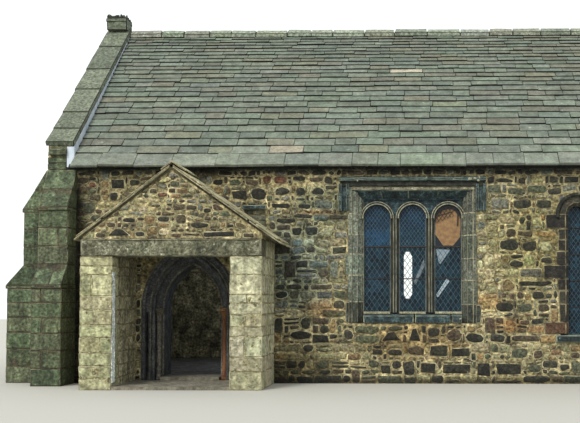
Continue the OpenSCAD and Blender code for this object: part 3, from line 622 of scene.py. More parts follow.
def close(piece: Piece, name: str = "") -> Piece:
    """Leaves edit mode with the mesh closed and its normals pointing outwards.

    Args:
        piece: The object that is being edited.
        name: Its new name.

    Returns:
        The same object.
    """
    bpy.ops.mesh.select_all(action="SELECT")
    bpy.ops.mesh.remove_doubles(threshold=1e-5)
    bpy.ops.mesh.fill_holes(sides=0)
    bpy.ops.mesh.normals_make_consistent(inside=False)
    bpy.ops.object.mode_set(mode="OBJECT")
    if name:
        piece.name = piece.data.name = name
    return piece


def boulder_master(corner: float) -> Master:
    """A field stone: a rounded face that stands out of a low collar of mortar.

    Args:
        corner: How far the corners are rounded, from 0 to 1.

    Returns:
        The master. Its third axis runs out of the wall.
    """
    piece = fresh(bpy.ops.mesh.primitive_plane_add, size=2)
    bpy.ops.mesh.bevel(offset=corner, segments=2, affect="VERTICES")
    bpy.ops.mesh.select_all(action="SELECT")
    move(0, 0, -1)
    extrude(0, 0, 1.12)
    bpy.ops.mesh.inset(thickness=0.13, depth=0.06)
    bpy.ops.mesh.inset(thickness=0.07, depth=0.42)
    bpy.ops.mesh.inset(thickness=0.22, depth=0.3)
    bpy.ops.mesh.poke(offset=0.08)
    close(piece)
    return Master.take(piece, lambda at: np.clip(1 - (at[:, 2] - 0.2) / 0.6, 0, 1))


def block_master(cuts: int) -> Master:
    """A squared block with bevelled edges, whose bevels run from 0.8 to 1.

    Args:
        cuts: Extra lines across each face.

    Returns:
        The master.
    """
    piece = fresh(bpy.ops.mesh.primitive_cube_add, size=2)
    bpy.ops.mesh.bevel(offset=0.2, segments=1, affect="EDGES")
    if cuts:
        pick(piece, lambda centre, normal: max(map(abs, normal)) > 0.99)
        bpy.ops.mesh.inset(thickness=0.03, use_individual=True)
        pick(piece, lambda centre, normal: sum(abs(v) > 0.01 for v in centre) == 1)
        bpy.ops.mesh.subdivide(number_cuts=cuts)
    close(piece)
    return Master.take(piece, lambda at: (np.sort(np.abs(at), axis=1)[:, 1] > 0.79).astype(float))


def slate_master() -> Master:
    """A slate: a thin plate with worn upper edges, its tail at the low end of its second axis.

    Returns:
        The master, its tail marked for the painted shade under each course.
    """
    piece = fresh(bpy.ops.mesh.primitive_cube_add, size=2)
    pick(piece, lambda centre, normal: normal.z > 0.9)
    bpy.ops.mesh.inset(thickness=0.2, depth=0)
    bpy.ops.mesh.subdivide(number_cuts=1)
    pick(piece, lambda at, normal: at.z > 0.9 and max(abs(at.x), abs(at.y)) > 0.9, "VERT")
    move(0, 0, -0.25)
    close(piece)
    # The tail's points carry the rim mark, where the slate finish paints shade
    return Master.take(piece, lambda at: (at[:, 1] < -0.9).astype(float))


@dataclass
class Heap:
    """Copies of a master, each fitted into its own cell of eight corners, in one mesh.

    A cell's corners run over the master's first, second and third axis, the third one fastest.
    """

    master: Master
    bevel: float = 0.0
    rough: float = 0.0
    rough_size: float = 0.12
    cells: list[np.ndarray] = field(default_factory=list)
    tones: list[str] = field(default_factory=list)

    def add(self, cell: Iterable, tone: str, place: Matrix | None = None) -> None:
        """Adds one copy.

        Args:
            cell: Its eight corners.
            tone: Its colour.
            place: Moves the corners from a wall's own frame to the building's.
        """
        corners = np.array([list(corner) for corner in cell], float).reshape(8, 3)
        self.cells.append(corners if place is None else moved(corners, place))
        self.tones.append(tone)

    def box(self, low: Iterable, high: Iterable, tone: str) -> None:
        """Adds one copy that fills an upright box."""
        self.add(box_cell(low, high), tone)

    def fitted(self) -> np.ndarray:
        """Fits the master into every cell.

        Returns:
            The points of every copy.
        """
        cells = np.array(self.cells)
        grid = cells.reshape(-1, 2, 2, 2, 3)
        share = []
        for axis in range(3):
            ends = np.moveaxis(grid, axis + 1, 1)
            half = np.linalg.norm(ends[:, 1] - ends[:, 0], axis=-1).mean(axis=(1, 2))[:, None] / 2
            at = self.master.points[None, :, axis]
            if self.bevel:
                band = np.minimum(self.bevel / np.maximum(half, 1e-4), 0.45)
                size = np.abs(at)
                at = np.sign(at) * np.where(size > 0.8, 1 - (1 - size) / 0.2 * band, size / 0.8 * (1 - band))
            share.append(np.broadcast_to(at, (len(cells), len(self.master.points))))
        total = np.zeros((len(cells), len(self.master.points), 3))
        for i, signs in enumerate(product((-1, 1), repeat=3)):
            weight = np.prod([(1 + sign * at) / 2 for sign, at in zip(signs, share)], axis=0)
            total += weight[:, :, None] * cells[:, i, None, :]
        return total

    def corner_rows(self) -> np.ndarray:
        """Lists every copy's face corners, turned round where its cell is a mirrored one."""
        cells = np.array(self.cells)
        sides = [cells[:, i] - cells[:, 0] for i in (4, 2, 1)]
        mirrored = np.einsum("ij,ij->i", np.cross(sides[0], sides[1]), sides[2]) < 0
        ahead = np.concatenate([np.array(f) for f in self.master.faces])
        back = np.concatenate([np.array(f[::-1]) for f in self.master.faces])
        start = np.arange(len(cells))[:, None] * len(self.master.points)
        return (np.where(mirrored[:, None], back, ahead) + start).ravel()

    def build(self, name: str, smooth: float, warp: Warp | None = None) -> Piece:
        """Makes the mesh.

        Args:
            name: The piece's name.
            smooth: Edges flatter than this many degrees look rounded.
            warp: Bends the finished points, as over a ridge.

        Returns:
            The piece.
        """
        points = self.fitted()
        count, size = points.shape[:2]
        flat = points.reshape(-1, 3)
        if self.rough:
            own = flat + np.repeat(np.arange(count), size)[:, None] * 3.7
            shift = [wander(own, self.rough_size, seed) for seed in (1, 2, 3)]
            flat = flat + np.stack(shift, axis=1) * self.rough
        if warp:
            flat = warp(flat)
        flat = np.clip(flat, *[np.array(corner) + edge for corner, edge in zip(CAD_BOX, (1e-4, -1e-4))])
        totals = np.tile([len(f) for f in self.master.faces], count)
        loops = self.corner_rows()
        mesh = bpy.data.meshes.new(name)
        mesh.vertices.add(len(flat))
        mesh.vertices.foreach_set("co", flat.ravel())
        mesh.loops.add(len(loops))
        mesh.loops.foreach_set("vertex_index", loops)
        mesh.polygons.add(len(totals))
        mesh.polygons.foreach_set("loop_start", np.concatenate([[0], np.cumsum(totals)[:-1]]))
        mesh.polygons.foreach_set("loop_total", totals)
        mesh.update(calc_edges=True)
        mesh.validate()
        colours = np.repeat(np.array([linear(tone) for tone in self.tones]), size, axis=0)
        rims = np.tile(self.master.rim, count)
        mesh.attributes.new("tone", "FLOAT_COLOR", "POINT").data.foreach_set("color", colours.ravel())
        mesh.attributes.new("rim", "FLOAT", "POINT").data.foreach_set("value", rims)
        piece = bpy.data.objects.new(name, mesh)
        bpy.context.scene.collection.objects.link(piece)
        return softened(piece, smooth)


def blocks(cuts: int, bevel: float, rough: float = 0.0, rough_size: float = 0.12) -> Heap:
    """Starts a heap of squared blocks.

    Args:
        cuts: Extra lines across each face.
        bevel: Width of the worn edges.
        rough: How far the surface wanders.
        rough_size: Distance over which it does.

    Returns:
        The empty heap.
    """
    return Heap(block_master(cuts), bevel, rough, rough_size)


def softened(piece: Piece, degrees: float) -> Piece:
    """Rounds the look of a piece's flatter edges.

    Args:
        piece: The piece.
        degrees: Edges flatter than this look rounded.

    Returns:
        The piece.
    """
    bpy.ops.object.select_all(action="DESELECT")
    piece.select_set(True)
    bpy.context.view_layer.objects.active = piece
    bpy.ops.object.shade_smooth_by_angle(angle=math.radians(degrees))
    return piece


def lengths(start: float, end: float, sizes: Pair, least: float, draw: Draw) -> Iterator[Pair]:
    """Cuts a run into stones of random lengths.

    Args:
        start: The run's start.
        end: Its end.
        sizes: Shortest and longest stone.
        least: A shorter rest joins the last stone.
        draw: Source of chance.

    Yields:
        Each stone's ends.
    """
    while end - start > 0.05:
        size = draw.uniform(*sizes)
        if end - start - size < least:
            size = end - start
        yield start, start + size
        start += size


def moved(points: np.ndarray, place: Matrix) -> np.ndarray:
    """Takes points from a window's frame to the building's."""
    turn = np.array(place)
    return points @ turn[:3, :3].T + turn[:3, 3]


def box_cell(low: Iterable, high: Iterable) -> np.ndarray:
    """The eight corners of an upright box."""
    return np.array(list(product(*zip(low, high))), float)


@dataclass(frozen=True)
class Section:
    """A moulding's cross-section, whose arrises have a pale worn edge.

    Its corners are places across the moulding, and a moulding runs along the third axis.
    """

    corners: tuple[Pair, ...]
    arrises: tuple[int, ...] = ()
    edge: float = 0.004
    band: float = 0.009

    def ring(self) -> tuple[np.ndarray, np.ndarray]:
        """Rounds the arrises.

        Returns:
            The outline's points and how pale each is.
        """
        points, light = [], []
        for i, corner in enumerate(self.corners):
            here = Vector(corner)
            if i not in self.arrises:
                points.append(here)
                light.append(0.0)
                continue
            before, after = self.corners[i - 1], self.corners[(i + 1) % len(self.corners)]
            near, wide = self.edge, self.band
            for other, far in ((before, wide), (before, near), (after, near), (after, wide)):
                points.append(here + (Vector(other) - here).normalized() * far)
                light.append(float(far == self.edge))
        return np.array([list(p) for p in points]), np.array(light)

    def master(self, segments: int = 1) -> Master:
        """Models a length of the moulding.

        Args:
            segments: Parts along its length.

        Returns:
            The master.
        """
        ring, light = self.ring()
        low, high = ring.min(axis=0), ring.max(axis=0)
        spread = (ring - low) / (high - low) * 2 - 1
        piece = outline((u, v, -1) for u, v in spread)
        for _ in range(segments):
            extrude(0, 0, 2 / segments)
        close(piece)

        def pale(at: np.ndarray) -> np.ndarray:
            """Finds how pale each point's place on the outline is."""
            gaps = np.linalg.norm(at[:, None, :2] - spread[None], axis=2)
            return light[np.argmin(gaps, axis=1)]

        return Master.take(piece, pale)

    def length(self, start: float, end: float) -> Iterator[Spot]:
        """The corners of a cell that holds the moulding from one place to another along its length."""
        ring = self.ring()[0]
        low, high = ring.min(axis=0), ring.max(axis=0)
        return product((low[0], high[0]), (low[1], high[1]), (start, end))


@dataclass
class Part:
    """A sub-assembly of the building, which dresses its own pieces."""

    materials: dict[str, bpy.types.Material]

    def coat(self, mesh: bpy.types.Mesh, finish: str) -> None:
        """Gives a mesh its one material."""
        mesh.materials.clear()
        mesh.materials.append(self.materials[finish])

    def put(self, piece: Piece, finish: str, slot: str, *nodes: str) -> None:
        """Dresses one new piece.

        Args:
            piece: The piece, in its place.
            finish: The material's key.
            slot: The record's material slot; not used.
            nodes: Nodes that it replaces.
        """
        self.coat(piece.data, finish)
        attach(piece, BODY)
        if nodes:
            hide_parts(*nodes)
        LOG.info("%s: %d faces, %s", piece.name, len(piece.data.polygons), finish)

    def lay(self, heap: Heap, name: str, finish: str, slot: str, *nodes: str, smooth: float = 30) -> None:
        """Builds a heap and dresses it."""
        self.put(heap.build(name, smooth), finish, slot, *nodes)


def wall_place(side: str, x: float, lift: float = 0.0) -> Matrix:
    """Frames a window: its own x runs to the right from outside, its y into the wall and its z up.

    Args:
        side: Which wall, "south", "north", "east" or "west".
        x: The window's place along the wall, on the building's x or y axis.
        lift: How far it is raised.

    Returns:
        The matrix from the window's frame to the building's.
    """
    turns = {"south": 0, "east": 90, "north": 180, "west": 270}
    spots = {"south": (x, SOUTH), "east": (EAST, x), "north": (x, NORTH), "west": (WEST, x)}
    return Matrix.Translation((*spots[side], lift)) @ Matrix.Rotation(math.radians(turns[side]), 4, "Z")


@dataclass(frozen=True)
class Patch:
    """A stretch of wall whose stones lean to some colours."""

    x: Pair
    z: Pair
    tones: str

    def holds(self, x: float, z: float) -> bool:
        """Says whether a place lies in the patch."""
        return self.x[0] <= x <= self.x[1] and self.z[0] <= z <= self.z[1]


class Shape(Enum):
    """Outlines of field stones."""

    SQUARE = 0
    ROUNDED = 1
    OVAL = 2
    WEDGE = 3


@dataclass(frozen=True)
class Mark:
    """A stone that stands out on its wall, at its own place."""

    x: float
    z: float
    width: float
    height: float
    tone: Tone
    shape: Shape = Shape.ROUNDED

    def box(self) -> Rect:
        """Its left, right, foot and top."""
        wide, tall = self.width / 2, self.height / 2
        return self.x - wide, self.x + wide, self.z - tall, self.z + tall


def marks(rows: str) -> tuple[Mark, ...]:
    """Reads a table of marked stones.

    Args:
        rows: The stones, with commas between them.

    Returns:
        The marks.
    """
    found = []
    for row in rows.split(","):
        *sizes, look = row.split()
        found.append(Mark(*[int(size) / 100 for size in sizes], TONES[look[0]], SHAPES[look[1:]]))
    return tuple(found)


# Letters for the tones and shapes
TONES = dict(zip("SDBMGOFPR", Tone))
SHAPES = {"": Shape.ROUNDED, "Q": Shape.SQUARE, "E": Shape.OVAL, "W": Shape.WEDGE}
# Where the walls' stones change colour; a later patch wins
EVERYWHERE = "DBMGOFFGM"
SOUTH_PATCHES = (
    Patch((-9, 9), (3.3, 5), "DMBGMOF"),
    Patch((-9, 9), (3.8, 5), "SDDBG"),
    Patch((-7.4, -5.5), (2.7, 3.8), "OFMBF"),
    Patch((-4.2, -2.9), (1.4, 3.3), "DMGBG"),
    Patch((-2.9, -2.1), (1.4, 3.4), "FMGPGB"),
    Patch((0.4, 0.85), (1.2, 3.4), "FPPG"),
    Patch((0.85, 1.9), (1.4, 3.4), "MDGFBO"),
    Patch((-9, 9), (0.75, 1.3), "SDBOMD"),
    Patch((-9, 9), (0.42, 0.75), "FFODMP"),
    Patch((-9, 9), (0.0, 0.42), "DBMDF"),
)

# Each stone's place along the wall and up it, its width and height in centimetres, its tone and its shape
SOUTH_MARKS = marks("""
    -138 26 20 20 SQ, -93 28 25 30 D, -56 30 32 21 SQ, -2 28 57 21 SQ, 50 28 27 28 SQ, 98 27 50 24 SQ,
    147 30 28 18 M, 204 32 22 14 D, 260 28 46 20 SQ, -154 60 20 13 SQ, -120 60 28 14 D, -79 62 32 18 B,
    -37 63 34 23 DQ, 5 60 39 18 SQ, 117 58 32 20 M, 153 57 18 18 B, 188 59 25 13 O, 226 54 20 15 B,
    -127 90 43 19 SW, -83 93 27 27 SW, -46 97 25 20 D, -7 92 30 27 BE, 33 87 36 21 SE, 75 87 30 18 D,
    130 86 55 16 B, -302 92 42 19 SE, -239 89 18 12 D, -210 93 21 20 DE, 82 345 37 22 GQ, 125 345 37 20 D,
    167 344 34 20 D, 95 314 32 16 F, 124 314 14 18 DE, 152 310 18 16 P, 66 295 20 15 F, 104 289 22 22 BE,
    66 267 18 20 FE, 99 266 38 22 D, 138 263 30 22 D, 170 262 22 20 P, 60 236 22 25 PE, 92 238 13 15 O,
    138 236 20 21 F, 170 235 24 15 D, 60 211 22 21 PE, 105 212 28 18 PE, 150 192 66 12 S, 97 187 27 24 OE,
    64 179 22 16 F, 135 166 16 16 OE, 174 167 16 13 D, 90 146 34 19 S, 128 145 31 19 M, 164 144 23 17 B,
    101 116 20 12 O, 128 117 21 12 B, 90 390 36 10 S, 125 389 18 15 S, 154 391 25 12 F, 186 391 21 14 DQ,
    220 391 28 15 SQ, 186 370 28 14 D, 115 369 39 15 M, -306 394 30 12 D, -272 393 30 12 B,
    -303 370 22 19 DE, -270 370 27 19 DE, -258 343 36 20 G, -296 341 27 13 D, -298 322 39 11 D,
    -247 292 22 19 PE, -258 268 34 18 FE, -310 293 22 18 S, -281 294 26 19 D, -463 388 22 13 S,
    -430 387 26 13 M, -397 387 24 13 B, -368 393 22 18 R, -342 393 25 18 R, -422 363 32 20 SQ,
    -385 365 33 26 SE, -338 370 32 19 DE, -340 342 38 13 S, -332 313 39 12 S, -658 385 27 20 SQ,
    -627 388 22 14 D, -707 383 16 15 R, -665 360 20 20 SE, -636 364 22 15 B, -683 384 18 14 O""")
GABLE_MARKS = marks("""
    -592 302 24 11 S, -530 304 24 11 D, -465 293 34 12 S, -410 292 14 9 S, -610 281 46 15 SW,
    -572 278 20 11 D, -480 277 34 8 B, -431 277 57 11 SQ, -555 303 20 16 OQ, -499 304 21 18 B,
    -532 348 17 10 R, -548 338 20 9 P, -567 322 19 10 P, -545 328 20 10 B, -451 320 16 11 S,
    -510 367 17 14 M, -532 362 17 11 G, -480 355 14 10 P, -509 346 20 10 O, -550 284 20 17 OQ,
    -528 282 20 16 P, -520 330 13 7 D, -480 335 20 10 G, -475 313 20 10 M""")


@dataclass
class WallFace:
    """A flat outer face of a wall, to be faced with coursed field stones.

    Places on it run along its foot from its left end, seen from outside, and up.
    """

    name: str
    origin: Vector
    along: Vector
    out: Vector
    outline: tuple[Spot, ...]
    holes: tuple[Rect, ...] = ()
    patches: tuple[Patch, ...] = ()
    marks: tuple[Mark, ...] = ()
    course: Pair = (0.11, 0.2)
    joint: float = 0.006
    seed: int = 1
    crook: float = 0.024
    slack: float = 0.014
    narrowest: float = 0.045
    shallowest: float = 0.055
    flattest: float = 0.03

    def span(self, height: float) -> Pair:
        """The face's left and right end at a height."""
        rows = np.array(self.outline)
        return tuple(float(np.interp(height, rows[:, 0], rows[:, i])) for i in (1, 2))

    def levels(self, draw: Draw) -> list[float]:
        """Draws the heights of the courses' joints, from the face's foot to its top."""
        low, high = self.outline[0][0], self.outline[-1][0]
        steps = [low]
        while steps[-1] < high:
            steps.append(steps[-1] + draw.uniform(*self.course))
        scale = (high - low) / (steps[-1] - low)
        return [low + (step - low) * scale for step in steps]

    def free(self, low: float, high: float, taken: list) -> Iterator[Rect]:
        """Finds the stretches of a course that nothing takes.

        Args:
            low: The course's foot.
            high: Its top.
            taken: Rectangles that openings and other stones fill.

        Yields:
            Left, right, foot and top of each stretch.
        """
        left = min(self.span(low)[0], self.span(high)[0])
        right = max(self.span(low)[1], self.span(high)[1])
        least, most = low + self.slack, high - self.slack
        crossing = [h for h in taken if h[2] < most and h[3] > least and h[0] < right and h[1] > left]
        edges = sorted({left, right, *(min(max(v, left), right) for h in crossing for v in h[:2])})
        run: list[float] = []
        for a, b in pairwise(edges):
            over = [h for h in crossing if h[0] < (a + b) / 2 < h[1]]
            foot = max([low, *(h[3] for h in over if h[2] <= least)])
            top = min([high, *(h[2] for h in over if h[3] >= most)])
            inner = any(h[2] > least and h[3] < most for h in over)
            if run and (inner or abs(run[2] - foot) > 1e-3 or abs(run[3] - top) > 1e-3):
                yield tuple(run)
                run = []
            if inner or top - foot < self.shallowest:
                continue
            run = [run[0] if run else a, b, foot, top]
        if run:
            yield tuple(run)

    def tone(self, x: float, z: float, draw: Draw) -> str:
        """Draws a stone's colour from the patch that it lies in."""
        tones = EVERYWHERE
        for patch in self.patches:
            if patch.holds(x, z):
                tones = patch.tones
        return varied(TONES[tones[draw.integers(len(tones))]].value, draw, 0.22)

    def local(self, x: float) -> float:
        """Turns a place on the building's own axis into one along the face."""
        axis = 0 if abs(self.along.x) > 0.5 else 1
        return (x - self.origin[axis]) / self.along[axis]

    def stones(self, draw: Draw) -> Iterator[tuple]:
        """Lays the courses round the marks and openings.

        Args:
            draw: Source of chance.

        Yields:
            Each stone's left, right, foot and top, and its mark or None.
        """
        taken = list(self.holes)
        for mark in self.marks:
            left, right, foot, top = mark.box()
            ends = sorted((self.local(left), self.local(right)))
            taken.append((*ends, foot, top))
            yield *ends, foot, top, mark
        levels = self.levels(draw)
        for i, (low, high) in enumerate(pairwise(levels)):
            above = levels[i + 2] if i + 2 < len(levels) else high
            for left, right, foot, top in list(self.free(low, high, taken)):
                x = left
                while right - x > self.narrowest:
                    tall = top - foot
                    width = tall * draw.choice([1.0, 1.5, 2.1, 3.0], p=[0.26, 0.34, 0.27, 0.13])
                    width = max(0.1, min(width * draw.uniform(0.85, 1.2), 0.55))
                    if right - x - width < 0.08:
                        width = right - x
                    joined = top == high and above > high and draw.random() < 0.12
                    if joined and width > 0.16 and self.clear(x, x + width, high, above, taken):
                        taken.append((x, x + width, high, above))
                        yield x, x + width, foot, above, None
                    elif tall > 0.14 and draw.random() < 0.25:
                        split = foot + tall * draw.uniform(0.4, 0.6)
                        yield x, x + width, foot, split, None
                        yield x, x + width, split, top, None
                    else:
                        yield x, x + width, foot, top, None
                    x += width

    def shifted(self, points: np.ndarray) -> np.ndarray:
        """Moves points along the wall and up, stones and joints alike, so that none is quite straight."""
        moves = [np.outer(wander(points, 0.15, 7 + i), axis) for i, axis in enumerate((self.along, UP))]
        return points + sum(moves) * self.crook

    def clear(self, a: float, b: float, low: float, high: float, taken: list) -> bool:
        """Says whether nothing cuts a rectangle."""
        inside = self.span(high)[0] <= a and b <= self.span(high)[1]
        return inside and all(h[0] >= b or h[1] <= a or h[2] >= high or h[3] <= low for h in taken)

    def build(self, masters: list[Master]) -> list[Heap]:
        """Fits a stone into every place.

        Args:
            masters: The field stones to choose from.

        Returns:
            One heap for each master.
        """
        draw = chance(self.seed)
        heaps = [Heap(master, bevel=0.017, rough=0.009, rough_size=0.06) for master in masters]
        for a, b, foot, top, mark in self.stones(draw):
            (left0, right0), (left1, right1) = self.span(foot), self.span(top)
            ends = [(min(max(a, left0), right0), min(max(b, left0), right0)),
                    (min(max(a, left1), right1), min(max(b, left1), right1))]
            if ends[0][1] - ends[0][0] < self.narrowest or top - foot < self.flattest:
                continue
            shape = mark.shape if mark else Shape(int(draw.choice(3, p=[0.4, 0.38, 0.22])))
            if shape is Shape.WEDGE:
                middle = (ends[1][0] + ends[1][1]) / 2
                ends[1] = (middle - 0.06, middle + 0.05)
            gap = 0.004 if mark else self.joint * draw.uniform(0.5, 1.6)
            proud = draw.uniform(0.012, 0.028)
            cell = []
            for side, level, depth in product((0, 1), (0, 1), (-0.02, proud)):
                reach = ends[level][1] - ends[level][0]
                pull = min(gap, reach * 0.3) * (1 - 2 * side)
                x = ends[level][side] + pull + draw.uniform(-0.45, 0.45) * self.joint
                z = (top if level else foot) + gap * (1 - 2 * level)
                x = min(max(x, 0), self.outline[0][2])
                cell.append(self.origin + self.along * x + UP * z + self.out * depth)
            place = self.origin + self.along * ((a + b) / 2)
            where = place.x if abs(self.along.x) > 0.5 else place.y
            tone = varied(mark.tone.value, draw, 0.1) if mark else self.tone(where, (foot + top) / 2, draw)
            heaps[shape.value % 3].add(cell, tone)
        return heaps


# Joints up each jamb of the three-light window, and how far each stone reaches over the wall
JAMB_JOINTS = {-1: (1.155, 1.568, 2.083, 2.49, 2.866, 3.26, 3.787),
               1: (1.155, 1.514, 1.977, 2.4, 2.85, 3.28, 3.787)}
JAMB_TAILS = {-1: (0.06, 0.02, 0.08, 0.02, 0.02, 0.0), 1: (0.09, 0.03, 0.02, 0.02, 0.0, 0.0)}


@dataclass
class Rubble(Part):
    """The field stones of every outer wall face."""

    buttress: float = 0.56
    buttress_top: float = 4.13
    hood: float = 0.42

    def lancet(self, x: float, lift: float = 0.0) -> tuple[Rect, ...]:
        """The free space round one lancet, with its long quoins and its hood."""
        rows = [(x - tail - 0.01, x + tail + 0.01, low + lift, high + lift) for low, high, tail in QUOIN_ROWS]
        head = (x - self.hood, x + self.hood, 3.24 + lift, 3.67 + lift)
        return (*rows, (x - self.hood, x + self.hood, 0.79 + lift, 0.95 + lift), head)

    def ends(self, length: float) -> tuple[Rect, ...]:
        """The places of the buttresses and of the corner blocks over them, at both ends of a wall."""
        return tuple((edge - wide, edge + wide, low, high) for edge in (0, length)
                     for wide, low, high in ((self.buttress, 0, self.buttress_top), (0.37, 4.0, 4.39)))

    def south_holes(self) -> tuple[Rect, ...]:
        """The south wall's openings, from its west end."""
        length = EAST - WEST
        low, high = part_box("window_label")
        door, half = PORCH_X - WEST, (PORCH_HIGH.x - PORCH_LOW.x) / 2
        tails = []
        for side, joints in JAMB_JOINTS.items():
            for (foot, top), tail in zip(pairwise(joints), JAMB_TAILS[side]):
                edges = sorted((WINDOW_X - WEST + side * 1.2, WINDOW_X - WEST + side * (1.23 + tail)))
                tails.append((*edges, foot, top))
        return (
            *self.ends(length),
            (door - half, door - half + 0.57, 0, 2.75), (door + half - 0.57, door + half, 0, 2.75),
            (door - 0.945, door + 0.945, 0, 2.65),
            (WINDOW_LOW.x - WEST, WINDOW_HIGH.x - WEST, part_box("window_sill")[0].z, WINDOW_HIGH.z + 0.23),
            (low.x - WEST - 0.02, high.x - WEST + 0.02, low.z - 0.03, high.z + 0.015),
            (3.78, 4.29, 2.72, 3.44), *tails,
            *(hole for x in SOUTH_LANCETS for hole in self.lancet(x - WEST)),
        )

    def faces(self) -> list[WallFace]:
        """Lists the wall faces with their openings."""
        length, width = EAST - WEST, NORTH - SOUTH
        corners = self.ends(width)
        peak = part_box("coping_west")[1].z - 0.131
        eave = WALL_TOP - 0.01
        half = (PORCH_HIGH.x - PORCH_LOW.x) / 2
        north = (*self.ends(length), *((EAST - x - 0.33, EAST - x + 0.33, 1.44, 3.1) for x in SLITS))
        straight = ((0, 0, length), (eave, 0, length))
        gable = ((0, 0, width), (GABLE_FOOT, 0, width), (peak, width / 2, width / 2))
        middle = width / 2
        x_axis, y_axis = Vector((1, 0, 0)), Vector((0, 1, 0))
        porch_patches = (Patch((-9, 9), (0, 2.95), "DBFBOP"), Patch((-9, 9), (2.95, 5), "FBGMBFGO"))
        return [
            WallFace("south", Vector((WEST, SOUTH, 0)), x_axis, -y_axis, straight, self.south_holes(),
                     SOUTH_PATCHES, SOUTH_MARKS, seed=11),
            WallFace("north", Vector((EAST, NORTH, 0)), -x_axis, y_axis, straight, north, SOUTH_PATCHES[:2],
                     seed=12),
            WallFace("west", Vector((WEST, NORTH, 0)), -y_axis, -x_axis, gable,
                     (*corners, *self.lancet(middle, LANCET_RISE)), SOUTH_PATCHES[7:], seed=13),
            WallFace("east", Vector((EAST, SOUTH, 0)), y_axis, x_axis, gable,
                     (*corners, *self.lancet(middle - EAST_PITCH), *self.lancet(middle, LANCET_RISE),
                      *self.lancet(middle + EAST_PITCH)), SOUTH_PATCHES[7:], seed=14),
            WallFace("porch_gable", Vector((PORCH_LOW.x, PORCH_FRONT, 0)), x_axis, -y_axis,
                     ((PORCH_HIGH.z, 0.04, 2 * half - 0.04), (PORCH_HIGH.z + 0.05, 0.07, 2 * half - 0.04),
                      (3.88, half - 0.04, half + 0.04)), (), porch_patches, GABLE_MARKS, (0.085, 0.15), 0.004,
                     15, 0.012),
        ]

    def build(self) -> None:
        """Lays and dresses the stones of every face."""
        masters = [boulder_master(0.3), boulder_master(0.6), boulder_master(0.9)]
        for face in self.faces():
            for kind, heap in zip(("square", "rounded", "oval"), face.build(masters)):
                self.put(heap.build(f"rubble_{face.name}_{kind}", 50, face.shifted), "rubble", "rubble")


